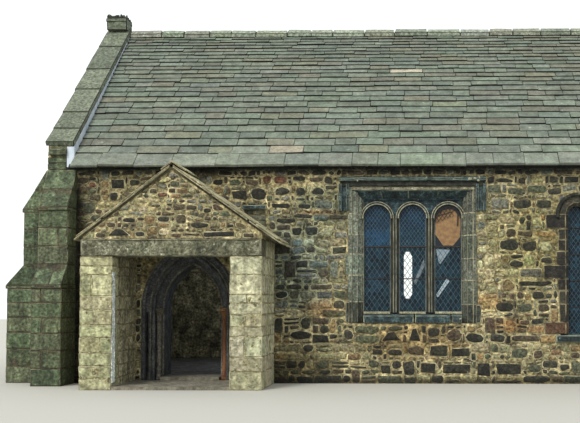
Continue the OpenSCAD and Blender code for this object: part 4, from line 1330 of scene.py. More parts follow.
@dataclass
class NaveRoof(Part):
    """Both slopes of stone slates, in courses that grow shallower up the roof, and the ridge stones."""

    eave_gauge: float = 0.34
    first_gauge: float = 0.283
    last_gauge: float = 0.135
    widths: Pair = (0.34, 0.72)
    slate_t: float = 0.041
    overhang: float = 0.17
    ridge_leg: float = 0.19
    eave_drop: float = 0.08
    ridge_t: float = 0.065

    def courses(self, slope: float) -> list[float]:
        """Places of the courses' tails, up the slope from the eave.

        Args:
            slope: Length of the slope.

        Returns:
            Distances up the slope, the last one at the ridge.
        """
        tails = [0.0, self.eave_gauge]
        while tails[-1] < slope:
            share = tails[-1] / slope
            tails.append(tails[-1] + self.first_gauge + (self.last_gauge - self.first_gauge) * share)
        return [tail * slope / tails[-1] for tail in tails]

    def slates(self, side: int) -> tuple[Heap, Heap]:
        """Lays one slope.

        Args:
            side: -1 for the south slope, 1 for the north one.

        Returns:
            The slates of the eave's course, whose tails show their edges, and all the others.
        """
        draw = chance(40 + side)
        up = Vector((0, math.cos(PITCH), math.sin(PITCH)))
        out = Vector((0, -up.z, up.y))
        run = NORTH + self.overhang
        eave = Vector((0, -run, ROOF_CROWN - run * math.tan(PITCH)))
        slope = run / up.y
        tails = self.courses(slope)
        left, right = WEST + 0.508, EAST - 0.508
        master = slate_master()
        # The eave course's slates have no painted shade on their tails, so their edges show
        unshaded = Master(master.points, master.faces, master.rim * 0)
        heap, eaves = (Heap(kind, bevel=0.007, rough=0.005, rough_size=0.12) for kind in (master, unshaded))
        for i, (tail, after) in enumerate(pairwise(tails)):
            gauge = after - tail
            x = left - draw.uniform(0, 0.3)
            while x < right:
                width = draw.uniform(*self.widths) * (0.72 + 0.45 * gauge / self.first_gauge)
                ends = (max(x, left), min(x + width, right))
                x += width
                if ends[1] - ends[0] < 0.05:
                    continue
                sag = [0.016 * wander(np.array([[end, i * 9.0, side]]), 1.3)[0] for end in ends]
                start = tail + draw.uniform(-0.016, 0.016) - (self.eave_drop if i == 0 else 0)
                head = min(after + gauge * 0.3, slope - 0.01)
                thick = self.slate_t * draw.uniform(0.8, 1.2) * (1.15 if i == 0 else 1 - 0.3 * tail / slope)
                tilt = draw.uniform(-0.003, 0.003)
                cell = []
                for sign, at, above in ENDS:
                    along = (head if at else start) + sag[sign] * (1 - at)
                    foot = -0.028 if at else 0.006 + tilt * (2 * sign - 1)
                    point = eave + up * along + out * (foot + above * thick)
                    cell.append((ends[sign] + (0.003 - 0.006 * sign), side * -point.y, point.z))
                colour = self.tone(draw, (ends[0] + ends[1]) / 2, tail / slope)
                if i:
                    heap.add(cell, colour)
                else:
                    eaves.add(cell, varied("#6D7265", draw, 0.06))
        return eaves, heap

    @staticmethod
    def tone(draw: Draw, x: float = 0, share: float = 0) -> str:
        """Draws a slate's colour, browner towards the roof's upper east end."""
        cool = ("#5A6155", "#5F675A", "#565E53", "#666D5F", "#585F51")
        warm = ("#63624F", "#5C5A4B", "#696855", "#5A594B")
        if draw.random() < 0.007:
            return varied("#A89E84", draw, 0.12)
        brown = 0.18 + 0.5 * share * min(max((x + 4) / 9, 0), 1)
        pool = warm if draw.random() < brown else cool
        return one_of(pool, draw, 0.1)

    def ridge(self) -> Heap:
        """Lays the ridge stones flat, for bending over the ridge."""
        draw = chance(50)
        heap = blocks(3, 0.008, 0.007, 0.2)
        for left, right in lengths(WEST + 0.512, EAST - 0.512, (0.5, 0.8), 0.4, draw):
            rise = draw.uniform(0.0, 0.012)
            low = (left + 0.001, -self.ridge_leg, rise)
            heap.box(low, (right - 0.001, self.ridge_leg, self.ridge_t + rise), varied("#9CA290", draw, 0.1))
        return heap

    def build(self) -> None:
        """Makes and dresses the roof."""
        for side, name in ((-1, "south"), (1, "north")):
            eaves, others = self.slates(side)
            self.lay(eaves, f"slates_eave_{name}", "slate", "slate")
            self.lay(others, f"slates_{name}", "slate", "slate")
        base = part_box("ridge_stones")[1].z - self.ridge_t / math.cos(PITCH)

        def over_ridge(points: np.ndarray) -> np.ndarray:
            """Bends flat stones down both slopes, with a rounded crown."""
            bent = points.copy()
            bend = np.sqrt(points[:, 1] ** 2 + 0.03 ** 2) - 0.03
            bent[:, 1] = points[:, 1] * math.cos(PITCH)
            bent[:, 2] = base + 0.012 + points[:, 2] / math.cos(PITCH) - bend * math.sin(PITCH)
            return bent

        piece = self.ridge().build("ridge_row", 30, over_ridge)
        self.put(piece, "coping", "slate", "ridge_stones")


@dataclass
class Gables(Part):
    """Coping slabs, kneelers, corner blocks and apex stones of both gables."""

    joints: tuple[float, ...] = (0.0, 0.1, 0.23, 0.42, 0.6, 0.814, 1.0)
    foot: float = 0.075
    thick: float = 0.1
    rise: float = 0.8494

    def build(self) -> None:
        """Makes and dresses the stones of both gables."""
        draw = chance(60)
        for end, name in SIDES:
            self.lay(self.coping(end, draw), f"coping_slabs_{name}", "coping", "coping", f"coping_{name}")
        self.kneelers(draw)
        self.apexes(draw)

    def coping(self, end: int, draw: Draw) -> Heap:
        """Lays one gable's slabs, each lapping a little over the next one down.

        Args:
            end: -1 for the west gable, 1 for the east one.
            draw: Source of chance.

        Returns:
            The slabs.
        """
        low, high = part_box("coping_west")
        heap = blocks(3, 0.012, 0.008, 0.15)
        upright = self.thick / math.cos(math.atan(self.rise))
        reach = [share * (NORTH + self.foot) - self.foot for share in self.joints]
        for side, (a, b) in product((-1, 1), pairwise(reach)):
            lift = draw.uniform(0.004, 0.014)
            lip = 0.02 + draw.uniform(0, 0.015)
            cell = []
            for across, along, above in ENDS:
                inward = b if along else a + 0.010 + (0.06 if a < 0 and not above else 0)
                x = high.x if across else low.x + lip + 0.012 * along
                z = GABLE_FOOT + inward * self.rise + above * upright + (0 if along else lift)
                cell.append((-end * x, side * (NORTH - inward), z))
            heap.add(cell, draw.choice(["#646A58", "#5A6050", "#6C725E", "#747A66"]))
        return heap

    def kneelers(self, draw: Draw) -> None:
        """Makes the corbelled blocks under the coping's feet, and the corner blocks under them."""
        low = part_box("kneelers")[0]
        heap, corners = blocks(3, 0.012, 0.007, 0.1), blocks(3, 0.012, 0.008, 0.1)
        for end, side in product((-1, 1), repeat=2):
            cell = []
            for across, out, above in ENDS:
                x = WEST + 0.04 + across * 0.325
                y = SOUTH + 0.02 - out * 0.1
                z = GABLE_FOOT - 0.07 * out if above else (low.z + (0.05 if out else 0))
                cell.append((-end * x, -side * y, z))
            heap.add(cell, "#5A5C48")
            for foot, top, wide in ((4.135, 4.262, 0.35), (4.268, 4.375, 0.36)):
                box = box_cell((WEST - 0.01, SOUTH - 0.012, foot), (WEST + wide, SOUTH + 0.3, top))
                corners.add(box * np.array([-end, -side, 1]), varied("#4E523E", draw))
        self.lay(heap, "kneeler_blocks", "green_ashlar", "ashlar", "kneelers")
        self.lay(corners, "corner_blocks", "green_ashlar", "ashlar")

    def apexes(self, draw: Draw) -> None:
        """Makes the broken, mossy blocks over the gables' points."""
        low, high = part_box("apex_stones")
        heap = blocks(5, 0.02, 0.012, 0.09)
        crown = Heap(boulder_master(0.6), rough=0.02, rough_size=0.05)
        for end in (-1, 1):
            x0, x1 = sorted((end * (high.x - 0.03), end * (high.x - 0.5)))
            heap.box((x0, -0.22, low.z + 0.11), (x1, 0.22, high.z - 0.10), "#5E6450")
            heap.box((x0 - 0.008, -0.23, high.z - 0.2), (x1 + 0.008, 0.23, high.z - 0.1), "#6C7460")
            for i, j in product(range(9), range(7)):
                x = x0 + (i + 0.5) / 9 * (x1 - x0) + draw.uniform(-0.01, 0.01)
                y = -0.22 + (j + 0.5) / 7 * 0.44 + draw.uniform(-0.01, 0.01)
                wide, tall = draw.uniform(0.018, 0.04), draw.uniform(0.0, 0.09)
                crown.box((x - wide, y - wide, high.z - 0.13), (x + wide, y + wide, high.z - 0.09 + tall),
                          varied("#3E4A34", draw, 0.35))
        self.lay(heap, "apex_blocks", "coping", "coping", "apex_stones", smooth=40)
        self.lay(crown, "apex_broken_crowns", "coping", "coping", smooth=40)


@dataclass
class Buttresses(Part):
    """The squared blocks of the corner buttresses, a pair to each corner."""

    width: float = 0.56
    proud: float = 0.005

    def profile(self) -> list[Rect]:
        """Rows of a buttress: foot, top, and how far it stands out at each."""
        lower = [0.0, 0.33, 0.66, 0.98, 1.27, 1.55, 1.82]
        upper = [2.275, 2.62, 2.97, 3.3]
        rows = [(a, b, 0.77, 0.77) for a, b in pairwise(lower)]
        rows += [(1.82, 1.88, 0.8, 0.8), (1.88, 2.275, 0.8, 0.46)]
        rows += [(a, b, 0.46, 0.46) for a, b in pairwise(upper)]
        rows += [(3.3, 3.36, 0.495, 0.495), (3.36, 3.72, 0.495, 0.2635), (3.72, 4.13, 0.2635, 0.03)]
        return rows

    def cells(self, draw: Draw) -> Iterator[tuple[np.ndarray, str]]:
        """The blocks of one buttress that stands out towards -Y, from its middle line."""
        tones = ("#566048", "#4A543E", "#666A52", "#6E6C54", "#5A5C44")
        for i, (foot, top, reach, reach_top) in enumerate(self.profile()):
            drip = top - foot < 0.1
            whole = drip or (reach != reach_top and foot > 3) or i % 2 == 0
            splits = [-0.5, 0.5] if whole else [-0.5, draw.uniform(-0.18, 0.18), 0.5]
            for a, b in pairwise(splits):
                cell = []
                gap = 0.0 if drip else 0.005
                jut = draw.uniform(0, 0.008)
                for across, out, above in ENDS:
                    edge = (a, b)[across]
                    x = edge * self.width
                    x += math.copysign(self.proud, edge) if abs(edge) == 0.5 else gap * (1 - 2 * across)
                    y = -((reach_top if above else reach) + self.proud * 0.5 + jut * (not drip)) * out
                    cell.append((x, y, (top - gap) if above else (foot + gap)))
                yield np.array(cell), one_of(tones, draw)

    def build(self) -> None:
        """Makes and dresses all eight buttresses."""
        for end, name in SIDES:
            heap = blocks(3, 0.014, 0.009, 0.12)
            for side, facing in product((-1, 1), (0, 1)):
                draw = chance(70 + end + 3 * side + 10 * facing)
                for cell, tone in self.cells(draw):
                    if facing:
                        cell = cell[:, [1, 0, 2]] + np.array([WEST, SOUTH + self.width / 2, 0])
                    else:
                        cell = cell + np.array([WEST + self.width / 2, SOUTH, 0])
                    heap.add(cell * np.array([-end, -side, 1]), tone)
            self.lay(heap, f"buttress_blocks_{name}", "green_ashlar", "ashlar")


@dataclass
class Porch(Part):
    """The porch's squared side walls, its lintel, its flags and the ledge stone beside it."""

    wall: float = 0.57
    proud: float = 0.006
    front_top: float = 2.3

    def walls(self) -> None:
        """Makes the squared blocks of both side walls."""
        rows = {
            "west": (0.0, 0.2, 0.425, 0.67, 0.93, 1.16, 1.43, 1.67, 2.05, 2.21, 2.375, 2.67),
            "east": (0.0, 0.33, 0.59, 0.95, 1.13, 1.34, 1.545, 1.7, 2.05, 2.375, 2.7),
        }
        split = {"west": (3, 5, 7), "east": (1, 2, 4, 6)}
        for side, name in SIDES:
            draw = chance(80 + side)
            shown, hidden = blocks(5, 0.012, 0.012, 0.07), blocks(2, 0.014, 0.012, 0.12)
            outer = PORCH_X + side * (PORCH_HIGH.x - PORCH_LOW.x) / 2
            inner = outer - side * self.wall
            levels = rows[name]
            for i, (foot, top) in enumerate(pairwise(levels)):
                start = PORCH_FRONT if foot < self.front_top else PORCH_HIGH.y + 0.01
                for along in lengths(start, SOUTH, (0.28, 0.55), 0.2, draw):
                    heap = shown if along[0] == PORCH_FRONT else hidden
                    splits = [0, draw.uniform(0.35, 0.65), 1] if i in split[name] else [0, 1]
                    for share in pairwise(splits):
                        self.block(heap, (outer, inner), share, along, (foot, top), side, draw)
            self.lay(shown, f"porch_front_blocks_{name}", "buff_ashlar", "ashlar", smooth=35)
            look = "brown_ashlar" if name == "west" else "buff_ashlar"
            self.lay(hidden, f"porch_side_blocks_{name}", look, "ashlar", smooth=35)
        # A painted highlight: a pale blue-white strip up the west jamb's inner edge
        strip = blocks(8, 0.01, 0.012, 0.12)
        inner = PORCH_LOW.x + self.wall
        strip.box((inner - 0.02, PORCH_FRONT + 0.015, 0.12), (inner + 0.016, PORCH_FRONT + 0.16, 2.1),
                  "#A8B2AE")
        self.lay(strip, "porch_jamb_highlight_edge", "bleached", "ashlar", smooth=35)

    def block(self, heap: Heap, faces: tuple, across: tuple, along: tuple, heights: tuple, side: int,
              draw: Draw) -> None:
        """Adds one block of a side wall.

        Args:
            heap: The blocks.
            faces: The wall's outer and inner face.
            across: The block's share of the wall's thickness.
            along: Its ends along the wall.
            heights: Its foot and top.
            side: -1 for the west wall, 1 for the east one.
            draw: Source of chance.
        """
        outer, inner = faces
        cell = []
        gap = 0.0015
        for i, j, k in ENDS:
            share = across[i]
            x = outer + (inner - outer) * share
            inset = -self.proud if share == 0 else self.proud if share == 1 else gap * (1 - 2 * i)
            x -= side * inset
            y = along[j] - self.proud if along[j] == PORCH_FRONT else along[j] + gap * (1 - 2 * j)
            sway = draw.uniform(-0.006, 0.006) if 0 < heights[k] < self.front_top else 0
            cell.append((x, y, heights[k] + gap * (1 - 2 * k) + sway))
        tones = ("#B2AE94", "#A8A488", "#BCB89E") if side > 0 else ("#A6A67E", "#9A9A74", "#B0B088")
        heap.add(cell, one_of(tones, draw, 0.1))

    def lintel(self) -> None:
        """Makes the one long stone over the porch's opening."""
        heap = blocks(15, 0.02, 0.012, 0.14)
        low = PORCH_LOW + Vector((0.002, -0.006, 0.004))
        heap.box(low, PORCH_HIGH - Vector((0.002, 0, 0.002)), "#66603F")
        self.lay(heap, "porch_lintel_stone", "lintel", "lintel", "porch_lintel", smooth=35)

    def roof(self) -> None:
        """Makes the flags of both slopes, in two layers over a bed of mortar."""
        for side, name in SIDES:
            low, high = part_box(f"porch_roof_{name}")
            draw = chance(90 + side)
            foot = (PORCH_X - low.x) if side < 0 else (high.x - PORCH_X)
            peak = high.z - 0.1
            slope = (peak - low.z) / foot
            heap = blocks(2, 0.006, 0.007, 0.2)
            under = [foot - 0.02, foot * 0.7, foot * 0.36, 0.0]
            over = [foot - 0.05, foot * 0.76, foot * 0.52, foot * 0.27, 0.0]
            for spans, base, thick in ((under, 0.034, 0.026), (over, 0.066, 0.024)):
                for reach in pairwise(spans):
                    for along in lengths(low.y, SOUTH, (0.42, 0.66), 0.25, draw):
                        self.flag(heap, side, (peak, slope), reach, along, (base, thick), draw)
            self.lay(heap, f"porch_flags_{name}", "buff_ashlar", "slate", f"porch_roof_{name}")
            bed = blocks(4, 0.01, 0.008, 0.08)
            cell = []
            for i, j, k in ENDS:
                far = (foot - 0.09) * (1 - i) + 0.002
                y = SOUTH if j else low.y + 0.05
                cell.append((PORCH_X + side * far, y, peak - far * slope - 0.01 + k * 0.05))
            bed.add(cell, "#6A6248")
            self.lay(bed, f"porch_bedding_{name}", "core", "rubble", smooth=35)

    def flag(self, heap: Heap, side: int, pitch: tuple, reach: tuple, along: tuple, layer: tuple,
             draw: Draw) -> None:
        """Adds one flag, whose tail lies on the one below it.

        Args:
            heap: The flags.
            side: -1 for the west slope, 1 for the east one.
            pitch: Height of the slope's underside at the ridge, and its steepness.
            reach: How far the flag's tail and head are from the ridge.
            along: Its ends along the ridge.
            layer: Height over the underside, and thickness.
            draw: Source of chance.
        """
        peak, slope = pitch
        base, thick = layer
        upper = base > 0.05
        ragged = draw.uniform(-0.02, 0.03)
        jut = draw.uniform(0, 0.03) if upper else draw.uniform(0.0, 0.015)
        cell = []
        for i, j, k in ENDS:
            far = reach[i] + (0.03 if i else ragged)
            lap = (-0.004 if i else 0.008) if upper else 0
            y = along[j] + 0.003 * (1 - 2 * j) + (0 if j else jut)
            cell.append((PORCH_X + side * max(far, 0.01), y, peak - far * slope + base + lap + k * thick))
        tones = ("#A89E7A", "#8E8668", "#B8AE8A", "#777058")
        heap.add(cell, one_of(tones, draw, 0.15))

    def ridge(self) -> None:
        """Lays thin stones over the porch's ridge."""
        low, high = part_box("porch_ridge")
        draw = chance(95)
        heap = blocks(2, 0.006, 0.006, 0.1)
        slope = 0.72
        y = low.y + 0.01
        while y < SOUTH - 0.1:
            deep = min(draw.uniform(0.35, 0.5), SOUTH - y)
            for side in (-1, 1):
                reach = 0.17 + draw.uniform(-0.03, 0.02)
                cell = []
                for i, j, k in ENDS:
                    far = -0.01 if i else reach
                    z = high.z - 0.052 - far * slope + k * 0.028 + (0.012 if side > 0 else 0)
                    cell.append((PORCH_X + side * far, y + (deep - 0.003) * j, z))
                heap.add(cell, varied("#9C9270", draw, 0.15))
            y += deep
        self.lay(heap, "porch_ridge_flags", "buff_ashlar", "slate", "porch_ridge")

    def vent(self) -> None:
        """Makes the small round hole under the gable's point, as a cup with a worn rim, painted dark for the
        shade inside it.
        """
        piece = fresh(bpy.ops.mesh.primitive_cylinder_add, vertices=20, radius=0.04, depth=0.05,
                      location=(PORCH_X + 0.02, PORCH_FRONT + 0.005, 3.80), rotation=(math.radians(90), 0, 0))
        pick(piece, lambda centre, normal: normal.y < -0.9)
        bpy.ops.mesh.inset(thickness=0.008, depth=0)
        extrude(0, 0.03, 0)
        self.put(softened(close(piece, "porch_vent"), 40), "slate_bed", "dark_stone")

    def ledge(self) -> None:
        """Makes the ledge stone on the nave's wall and the squared stones under it."""
        low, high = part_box("wall_ledge")
        draw = chance(97)
        stone = blocks(5, 0.014, 0.010, 0.08)
        stone.box(low + Vector((0.004, 0.006, 0.004)), high - Vector((0.004, -0.02, 0.004)), "#2A302C")
        self.lay(stone, "ledge_stone", "soot_stone", "dark_stone", "wall_ledge", smooth=35)
        under = blocks(3, 0.012, 0.008, 0.1)
        levels = (2.74, 2.88, 3.0, 3.13, 3.235, 3.335)
        for i, (foot, top) in enumerate(pairwise(levels)):
            middle = low.x + (0.5 + draw.uniform(-0.12, 0.12)) * (high.x - low.x)
            ends = (low.x + 0.02, high.x - 0.02) if i % 2 else (low.x + 0.02, middle, high.x - 0.02)
            for a, b in pairwise(ends):
                under.box((a + 0.004, SOUTH - 0.02, foot + 0.004), (b - 0.004, SOUTH + 0.1, top - 0.004),
                           varied("#7C7A62", draw))
        self.lay(under, "ledge_underblocks", "window_stone", "ashlar", smooth=35)

    def build(self) -> None:
        """Makes and dresses the porch."""
        self.walls()
        self.lintel()
        self.roof()
        self.ridge()
        self.vent()
        self.ledge()


@dataclass
class Doorway(Part):
    """The rolls, shafts and capitals of the pointed doorway inside the porch."""

    half: float = 0.565
    spring: float = 1.445
    offset: float = 0.3645
    foot: float = 0.06

    def roll(self, name: str, finish: str, grow: float, depth: float, thick: float) -> None:
        """Runs a roll up both jambs and round the arch.

        Args:
            name: The piece's name.
            finish: The material's key.
            grow: How far it lies outside the opening's edge.
            depth: How far behind the wall's face its middle is.
            thick: Its radius.
        """
        for side, end in SIDES:
            x = PORCH_X + side * (self.half + grow)
            centre = PORCH_X - side * self.offset
            sweep = math.acos(self.offset / abs(x - centre))
            piece = fresh(bpy.ops.mesh.primitive_circle_add, vertices=12, radius=thick, fill_type="NGON",
                          location=(x, SOUTH + depth, self.foot))
            extrude(0, 0, self.spring - self.foot)
            bpy.ops.mesh.spin(steps=20, angle=side * sweep, center=(centre, SOUTH + depth, self.spring),
                              axis=(0, 1, 0))
            self.put(softened(close(piece, f"{name}_{end}"), 50), finish, "ashlar")

    def shaft(self, name: str, finish: str, x: float, depth: float = 0.2, thick: float = 0.045) -> None:
        """Turns a slender shaft with its base and bell capital.

        Args:
            name: The piece's name.
            finish: The material's key.
            x: Its place across the doorway.
            depth: How far behind the wall's face its middle is.
            thick: Its radius.
        """
        top = self.spring
        profile = ((1.5, self.foot), (1.5, 0.1), (1.25, 0.115), (1.35, 0.14), (1.0, 0.165), (1.0, top - 0.26),
                   (1.25, top - 0.25), (1.25, top - 0.235), (1.02, top - 0.225), (1.15, top - 0.16),
                   (1.65, top - 0.085), (1.7, top - 0.07))
        piece = fresh(bpy.ops.mesh.primitive_circle_add, vertices=16, radius=thick * profile[0][0],
                      fill_type="NGON", location=(x, SOUTH + depth, self.foot))
        for (wide0, z0), (wide1, z1) in pairwise(profile):
            extrude(0, 0, z1 - z0)
            grow = wide1 / wide0
            bpy.ops.transform.resize(value=(grow, grow, 1), center_override=(x, SOUTH + depth, z1))
        self.put(softened(close(piece, name), 40), finish, "ashlar")

    def build(self) -> None:
        """Makes and dresses the doorway's mouldings."""
        self.roll("door_inner_roll", "door_stone", grow=0.012, depth=0.262, thick=0.02)
        self.roll("door_middle_roll", "shaded", grow=0.16, depth=0.1, thick=0.032)
        self.roll("door_middle_fillet", "door_stone", grow=0.225, depth=0.086, thick=0.014)
        self.roll("door_outer_roll", "shaded", grow=0.335, depth=0.01, thick=0.03)
        self.shaft("door_inner_shaft_west", "door_stone", PORCH_X - 0.64)
        self.shaft("door_inner_shaft_east", "ferrous", PORCH_X + 0.64)
        abaci = blocks(2, 0.012, 0.003, 0.1)
        for side, tone in ((-1, "#5A5648"), (1, "#A06A3A")):
            x, top = PORCH_X + side * 0.635, self.spring
            abaci.box((x - 0.09, SOUTH + 0.115, top - 0.07), (x + 0.09, SOUTH + 0.29, top), tone)
        self.lay(abaci, "door_inner_abaci", "dark_quoin", "ashlar", smooth=35)


@dataclass
class Leading:
    """Diamond panes and their leads in one opening with a round head, in the opening's own frame."""

    half: float
    foot: float
    spring: float
    depth: float
    place: Matrix
    bands: tuple[Rect, ...]
    came: float = 0.0045
    pane_faces: Pair = (0.0015, 0.0045)

    def inside(self, x: np.ndarray, z: np.ndarray) -> np.ndarray:
        """Says which points lie in the opening."""
        head = np.hypot(x, z - self.spring) < self.half + 0.008
        return (np.abs(x) < self.half + 0.004) & (z > self.foot - 0.004) & ((z < self.spring) | head)

    def bar(self, heap: Heap, start: tuple, end: tuple, wide: float, out: Pair) -> None:
        """Adds one straight lead or bar in front of the glass.

        Args:
            heap: The leads.
            start: Its first end, across and up.
            end: Its other end.
            wide: Half its width.
            out: How far its back and its front stand before the glass.
        """
        run = Vector((end[0] - start[0], end[1] - start[1]))
        side = Vector((-run.y, run.x)).normalized() * wide
        cell = []
        for spot, turn, front in product((start, end), (-1, 1), out):
            cell.append((spot[0] + turn * side.x, self.depth - front, spot[1] + turn * side.y))
        heap.add(cell, "#66767E", self.place)

    def cames(self, heap: Heap, keep: Callable[[np.ndarray, np.ndarray], np.ndarray] | None = None) -> None:
        """Lays the leads of every band in both directions.

        Args:
            heap: The leads.
            keep: Says where the leads are still whole, or nothing where they all are.
        """
        for low, high, wide, tall in self.bands:
            top = min(high, self.spring + self.half)
            reach = int(self.half / wide + (top - low) / tall) + 2
            x = np.linspace(-self.half - 0.005, self.half + 0.005, 160)
            for sign, k in product((-1, 1), range(-reach, reach)):
                z = low + sign * tall * (k + 0.5 - x / wide)
                good = self.inside(x, z) & (z >= low) & (z <= top)
                if keep:
                    good &= keep(x, z)
                if good.sum() < 5:
                    continue
                spots = np.flatnonzero(good)
                ends = [(x[i], z[i]) for i in (spots[0], spots[-1])]
                self.bar(heap, *ends, self.came, (0.0045, 0.0095) if sign > 0 else (0.0045, 0.0105))

    def panes(self, heap: Heap, tone: Callable[[float, float, Draw], str], seed: int) -> None:
        """Sets the panes, each a little askew.

        Args:
            heap: The panes.
            tone: Gives a pane's colour from its place.
            seed: Source of chance.
        """
        draw = chance(seed)
        for low, high, wide, tall in self.bands:
            rows = int((high - low) / tall * 2) + 2
            columns = int(self.half / wide) + 2
            for j, i in product(range(rows), range(-columns, columns + 1)):
                x, z = (i + (j % 2) / 2) * wide, low + j * tall / 2
                near = self.inside(x + np.array([0, -wide, wide, 0]) / 2, z + np.array([0, 0, 0, -tall]) / 2)
                if not near.any() or z > high + 0.01:
                    continue
                code = tone(x, z, draw)
                tips = {(0, 0): (0, -0.5), (1, 0): (0.5, 0), (1, 1): (0, 0.5), (0, 1): (-0.5, 0)}
                lean = {tip: draw.uniform(-0.0012, 0.0012) for tip in tips}
                cell = []
                for a, b, front in product((0, 1), (0, 1), self.pane_faces):
                    u, v = tips[a, b]
                    height = min(max(z + v * tall, low - 0.005), high + 0.005)
                    cell.append((x + u * wide, self.depth - front - lean[a, b], height))
                heap.add(cell, code, self.place)


@dataclass
class ThreeLightWindow(Part):
    """The mullioned window: jamb stones, mullions, head, label, sill, leads, panes and a board."""

    pitch: float = 0.692
    light_half: float = 0.2575
    head_radius: float = 0.265
    lights_half: float = 0.9495
    outer_half: float = 1.2245
    foot: float = 1.356
    spring: float = 3.19
    bar: float = 2.64
    glass: float = 0.28

    def place(self, index: int) -> Matrix:
        """Frames one of the three lights."""
        return wall_place("south", WINDOW_X + (index - 1) * self.pitch)

    def jambs(self) -> None:
        """Makes the splayed jamb stones, long and short, on both sides."""
        section = Section((
            (0.0, 0.42), (0.0, 0.20), (0.034, 0.20), (0.034, 0.165), (0.105, 0.085), (0.105, 0.05),
            (0.175, 0.02), (0.215, 0.02), (0.215, -0.012), (0.275, -0.012), (0.275, 0.42),
        ), (1, 3, 5, 7, 8, 9))
        draw = chance(100)
        heap = Heap(section.master(3), rough=0.004, rough_size=0.12)
        outer = blocks(3, 0.012, 0.009, 0.08)
        for side, joints in JAMB_JOINTS.items():
            for i, (low, high) in enumerate(pairwise(joints)):
                tone = varied("#23261F" if i == 0 else "#5C5E50" if side > 0 else "#6E7668", draw, 0.3)
                shift = draw.uniform(-0.004, 0.004)
                cell = [(WINDOW_X + side * (self.lights_half + u), SOUTH + v + shift, z)
                        for u, v, z in section.length(low + 0.008, high - 0.008)]
                heap.add(cell, tone)
                if i:
                    heap.add([(WINDOW_X + side * (self.lights_half + u), SOUTH + v - 0.004, z)
                              for u, v, z in section.length(low - 0.01, low + 0.01)], "#C4BC9C")
                if JAMB_TAILS[side][i]:
                    edge = sorted((side * 1.216, side * (self.outer_half + JAMB_TAILS[side][i])))
                    outer.box((WINDOW_X + edge[0], SOUTH - 0.02, low + 0.004),
                                       (WINDOW_X + edge[1], SOUTH + 0.08, high - 0.004), tone)
        self.lay(heap, "window_jamb_stones", "window_stone", "ashlar", "window_jambs")
        self.lay(outer, "window_jamb_tails", "window_stone", "ashlar")

    def mullions(self) -> None:
        """Makes the two mullions, each of three stones."""
        section = Section((
            (-0.0885, 0.38), (-0.0885, 0.27), (-0.05, 0.235), (-0.03, 0.176), (0.03, 0.176), (0.05, 0.235),
            (0.0885, 0.27), (0.0885, 0.38)), (1, 3, 4, 6), edge=0.005, band=0.011)
        heap = Heap(section.master(4), rough=0.003, rough_size=0.15)
        draw = chance(101)
        for side in (-0.5, 0.5):
            middle = WINDOW_X + side * self.pitch
            joints = (self.foot, self.foot + draw.uniform(0.55, 0.75), self.foot + draw.uniform(1.2, 1.35),
                      self.spring + 0.06)
            for low, high in pairwise(joints):
                cell = [(middle + u, SOUTH + v, z) for u, v, z in section.length(low + 0.002, high - 0.002)]
                heap.add(cell, varied("#262B26", draw, 0.15))
        self.lay(heap, "window_mullion_stones", "mullion", "ashlar", "window_mullions")

    def arches(self) -> None:
        """Runs a pale roll round each light's head, and another round the sunk spandrels."""
        for index, (grow, depth, thick) in product(range(3), ((0.012, 0.178, 0.010), (0.056, 0.176, 0.008))):
            x, radius = WINDOW_X + (index - 1) * self.pitch, self.head_radius + grow
            piece = fresh(bpy.ops.mesh.primitive_circle_add, vertices=8, radius=thick, fill_type="NGON",
                          location=(x - radius, SOUTH + depth, self.spring))
            bpy.ops.mesh.spin(steps=28, angle=-math.pi, center=(x, SOUTH + depth, self.spring),
                              axis=(0, 1, 0))
            name = f"window_head_roll_{index + 1}_{'inner' if grow < 0.03 else 'outer'}"
            self.put(softened(close(piece, name), 60), "pale_arris", "ashlar")

    def label(self) -> None:
        """Makes the label moulding's stones over the window and their returns down its sides."""
        low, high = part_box("window_label")
        draw = chance(102)
        top = Section(((0.02, 3.894), (-0.085, 3.894), (-0.098, 3.906), (-0.098, 3.945), (-0.06, 3.974),
                       (0.02, 3.978)), (2, 3))
        # A near-black block in the hollow under the label: painted shadow
        under = blocks(4, 0.01, 0.004, 0.1)
        under.box((low.x + 0.03, SOUTH - 0.04, 3.792), (high.x - 0.03, SOUTH + 0.05, 3.9), "#0E1010")
        self.lay(under, "window_label_hollow_shadow", "dark_hood", "dark_stone")
        heap = Heap(top.master(8), rough=0.006, rough_size=0.1)
        ends = (low.x, low.x + 0.74, low.x + 1.55, low.x + 2.3, high.x)
        for a, b in pairwise(ends):
            shift = draw.uniform(-0.003, 0.006)
            cell = [(x, SOUTH + u + shift, z) for u, z, x in top.length(a + 0.003, b - 0.003)]
            heap.add(cell, varied("#3A4E4A", draw, 0.2))
        self.lay(heap, "window_label_stones", "soot_stone", "dark_stone", "window_label")
        leg = Section((
            (0.0, 0.02), (0.0, -0.05), (0.05, -0.05), (0.075, -0.02), (0.12, -0.02), (0.14, -0.088),
            (0.195, -0.088), (0.195, 0.02)), (1, 2, 5, 6))
        legs = Heap(leg.master(5), rough=0.006, rough_size=0.08)
        half = self.outer_half
        for turn in (-1, 1):
            for a, b in ((low.z + 0.01, low.z + 0.26), (low.z + 0.265, 3.84)):
                cell = [(WINDOW_X + turn * (half + u), SOUTH + v, z) for u, v, z in leg.length(a, b)]
                legs.add(cell, varied("#343C38", draw, 0.2))
        self.lay(legs, "window_label_returns", "soot_stone", "dark_stone")
        chips = Heap(boulder_master(0.6), rough=0.01, rough_size=0.04)
        for x, z, wide in ((-2.0, 3.93, 0.05), (-1.93, 3.9, 0.03), (0.24, 3.93, 0.07), (0.33, 3.94, 0.06),
                           (0.4, 3.9, 0.05), (-0.6, 3.95, 0.04), (0.42, 3.95, 0.03)):
            chips.box((x - wide / 2, SOUTH - 0.1, z - 0.02), (x + wide / 2, SOUTH - 0.06, z + 0.022),
                      "#B8B8A4")
        self.lay(chips, "window_label_chips", "pale_arris", "dark_stone", smooth=40)

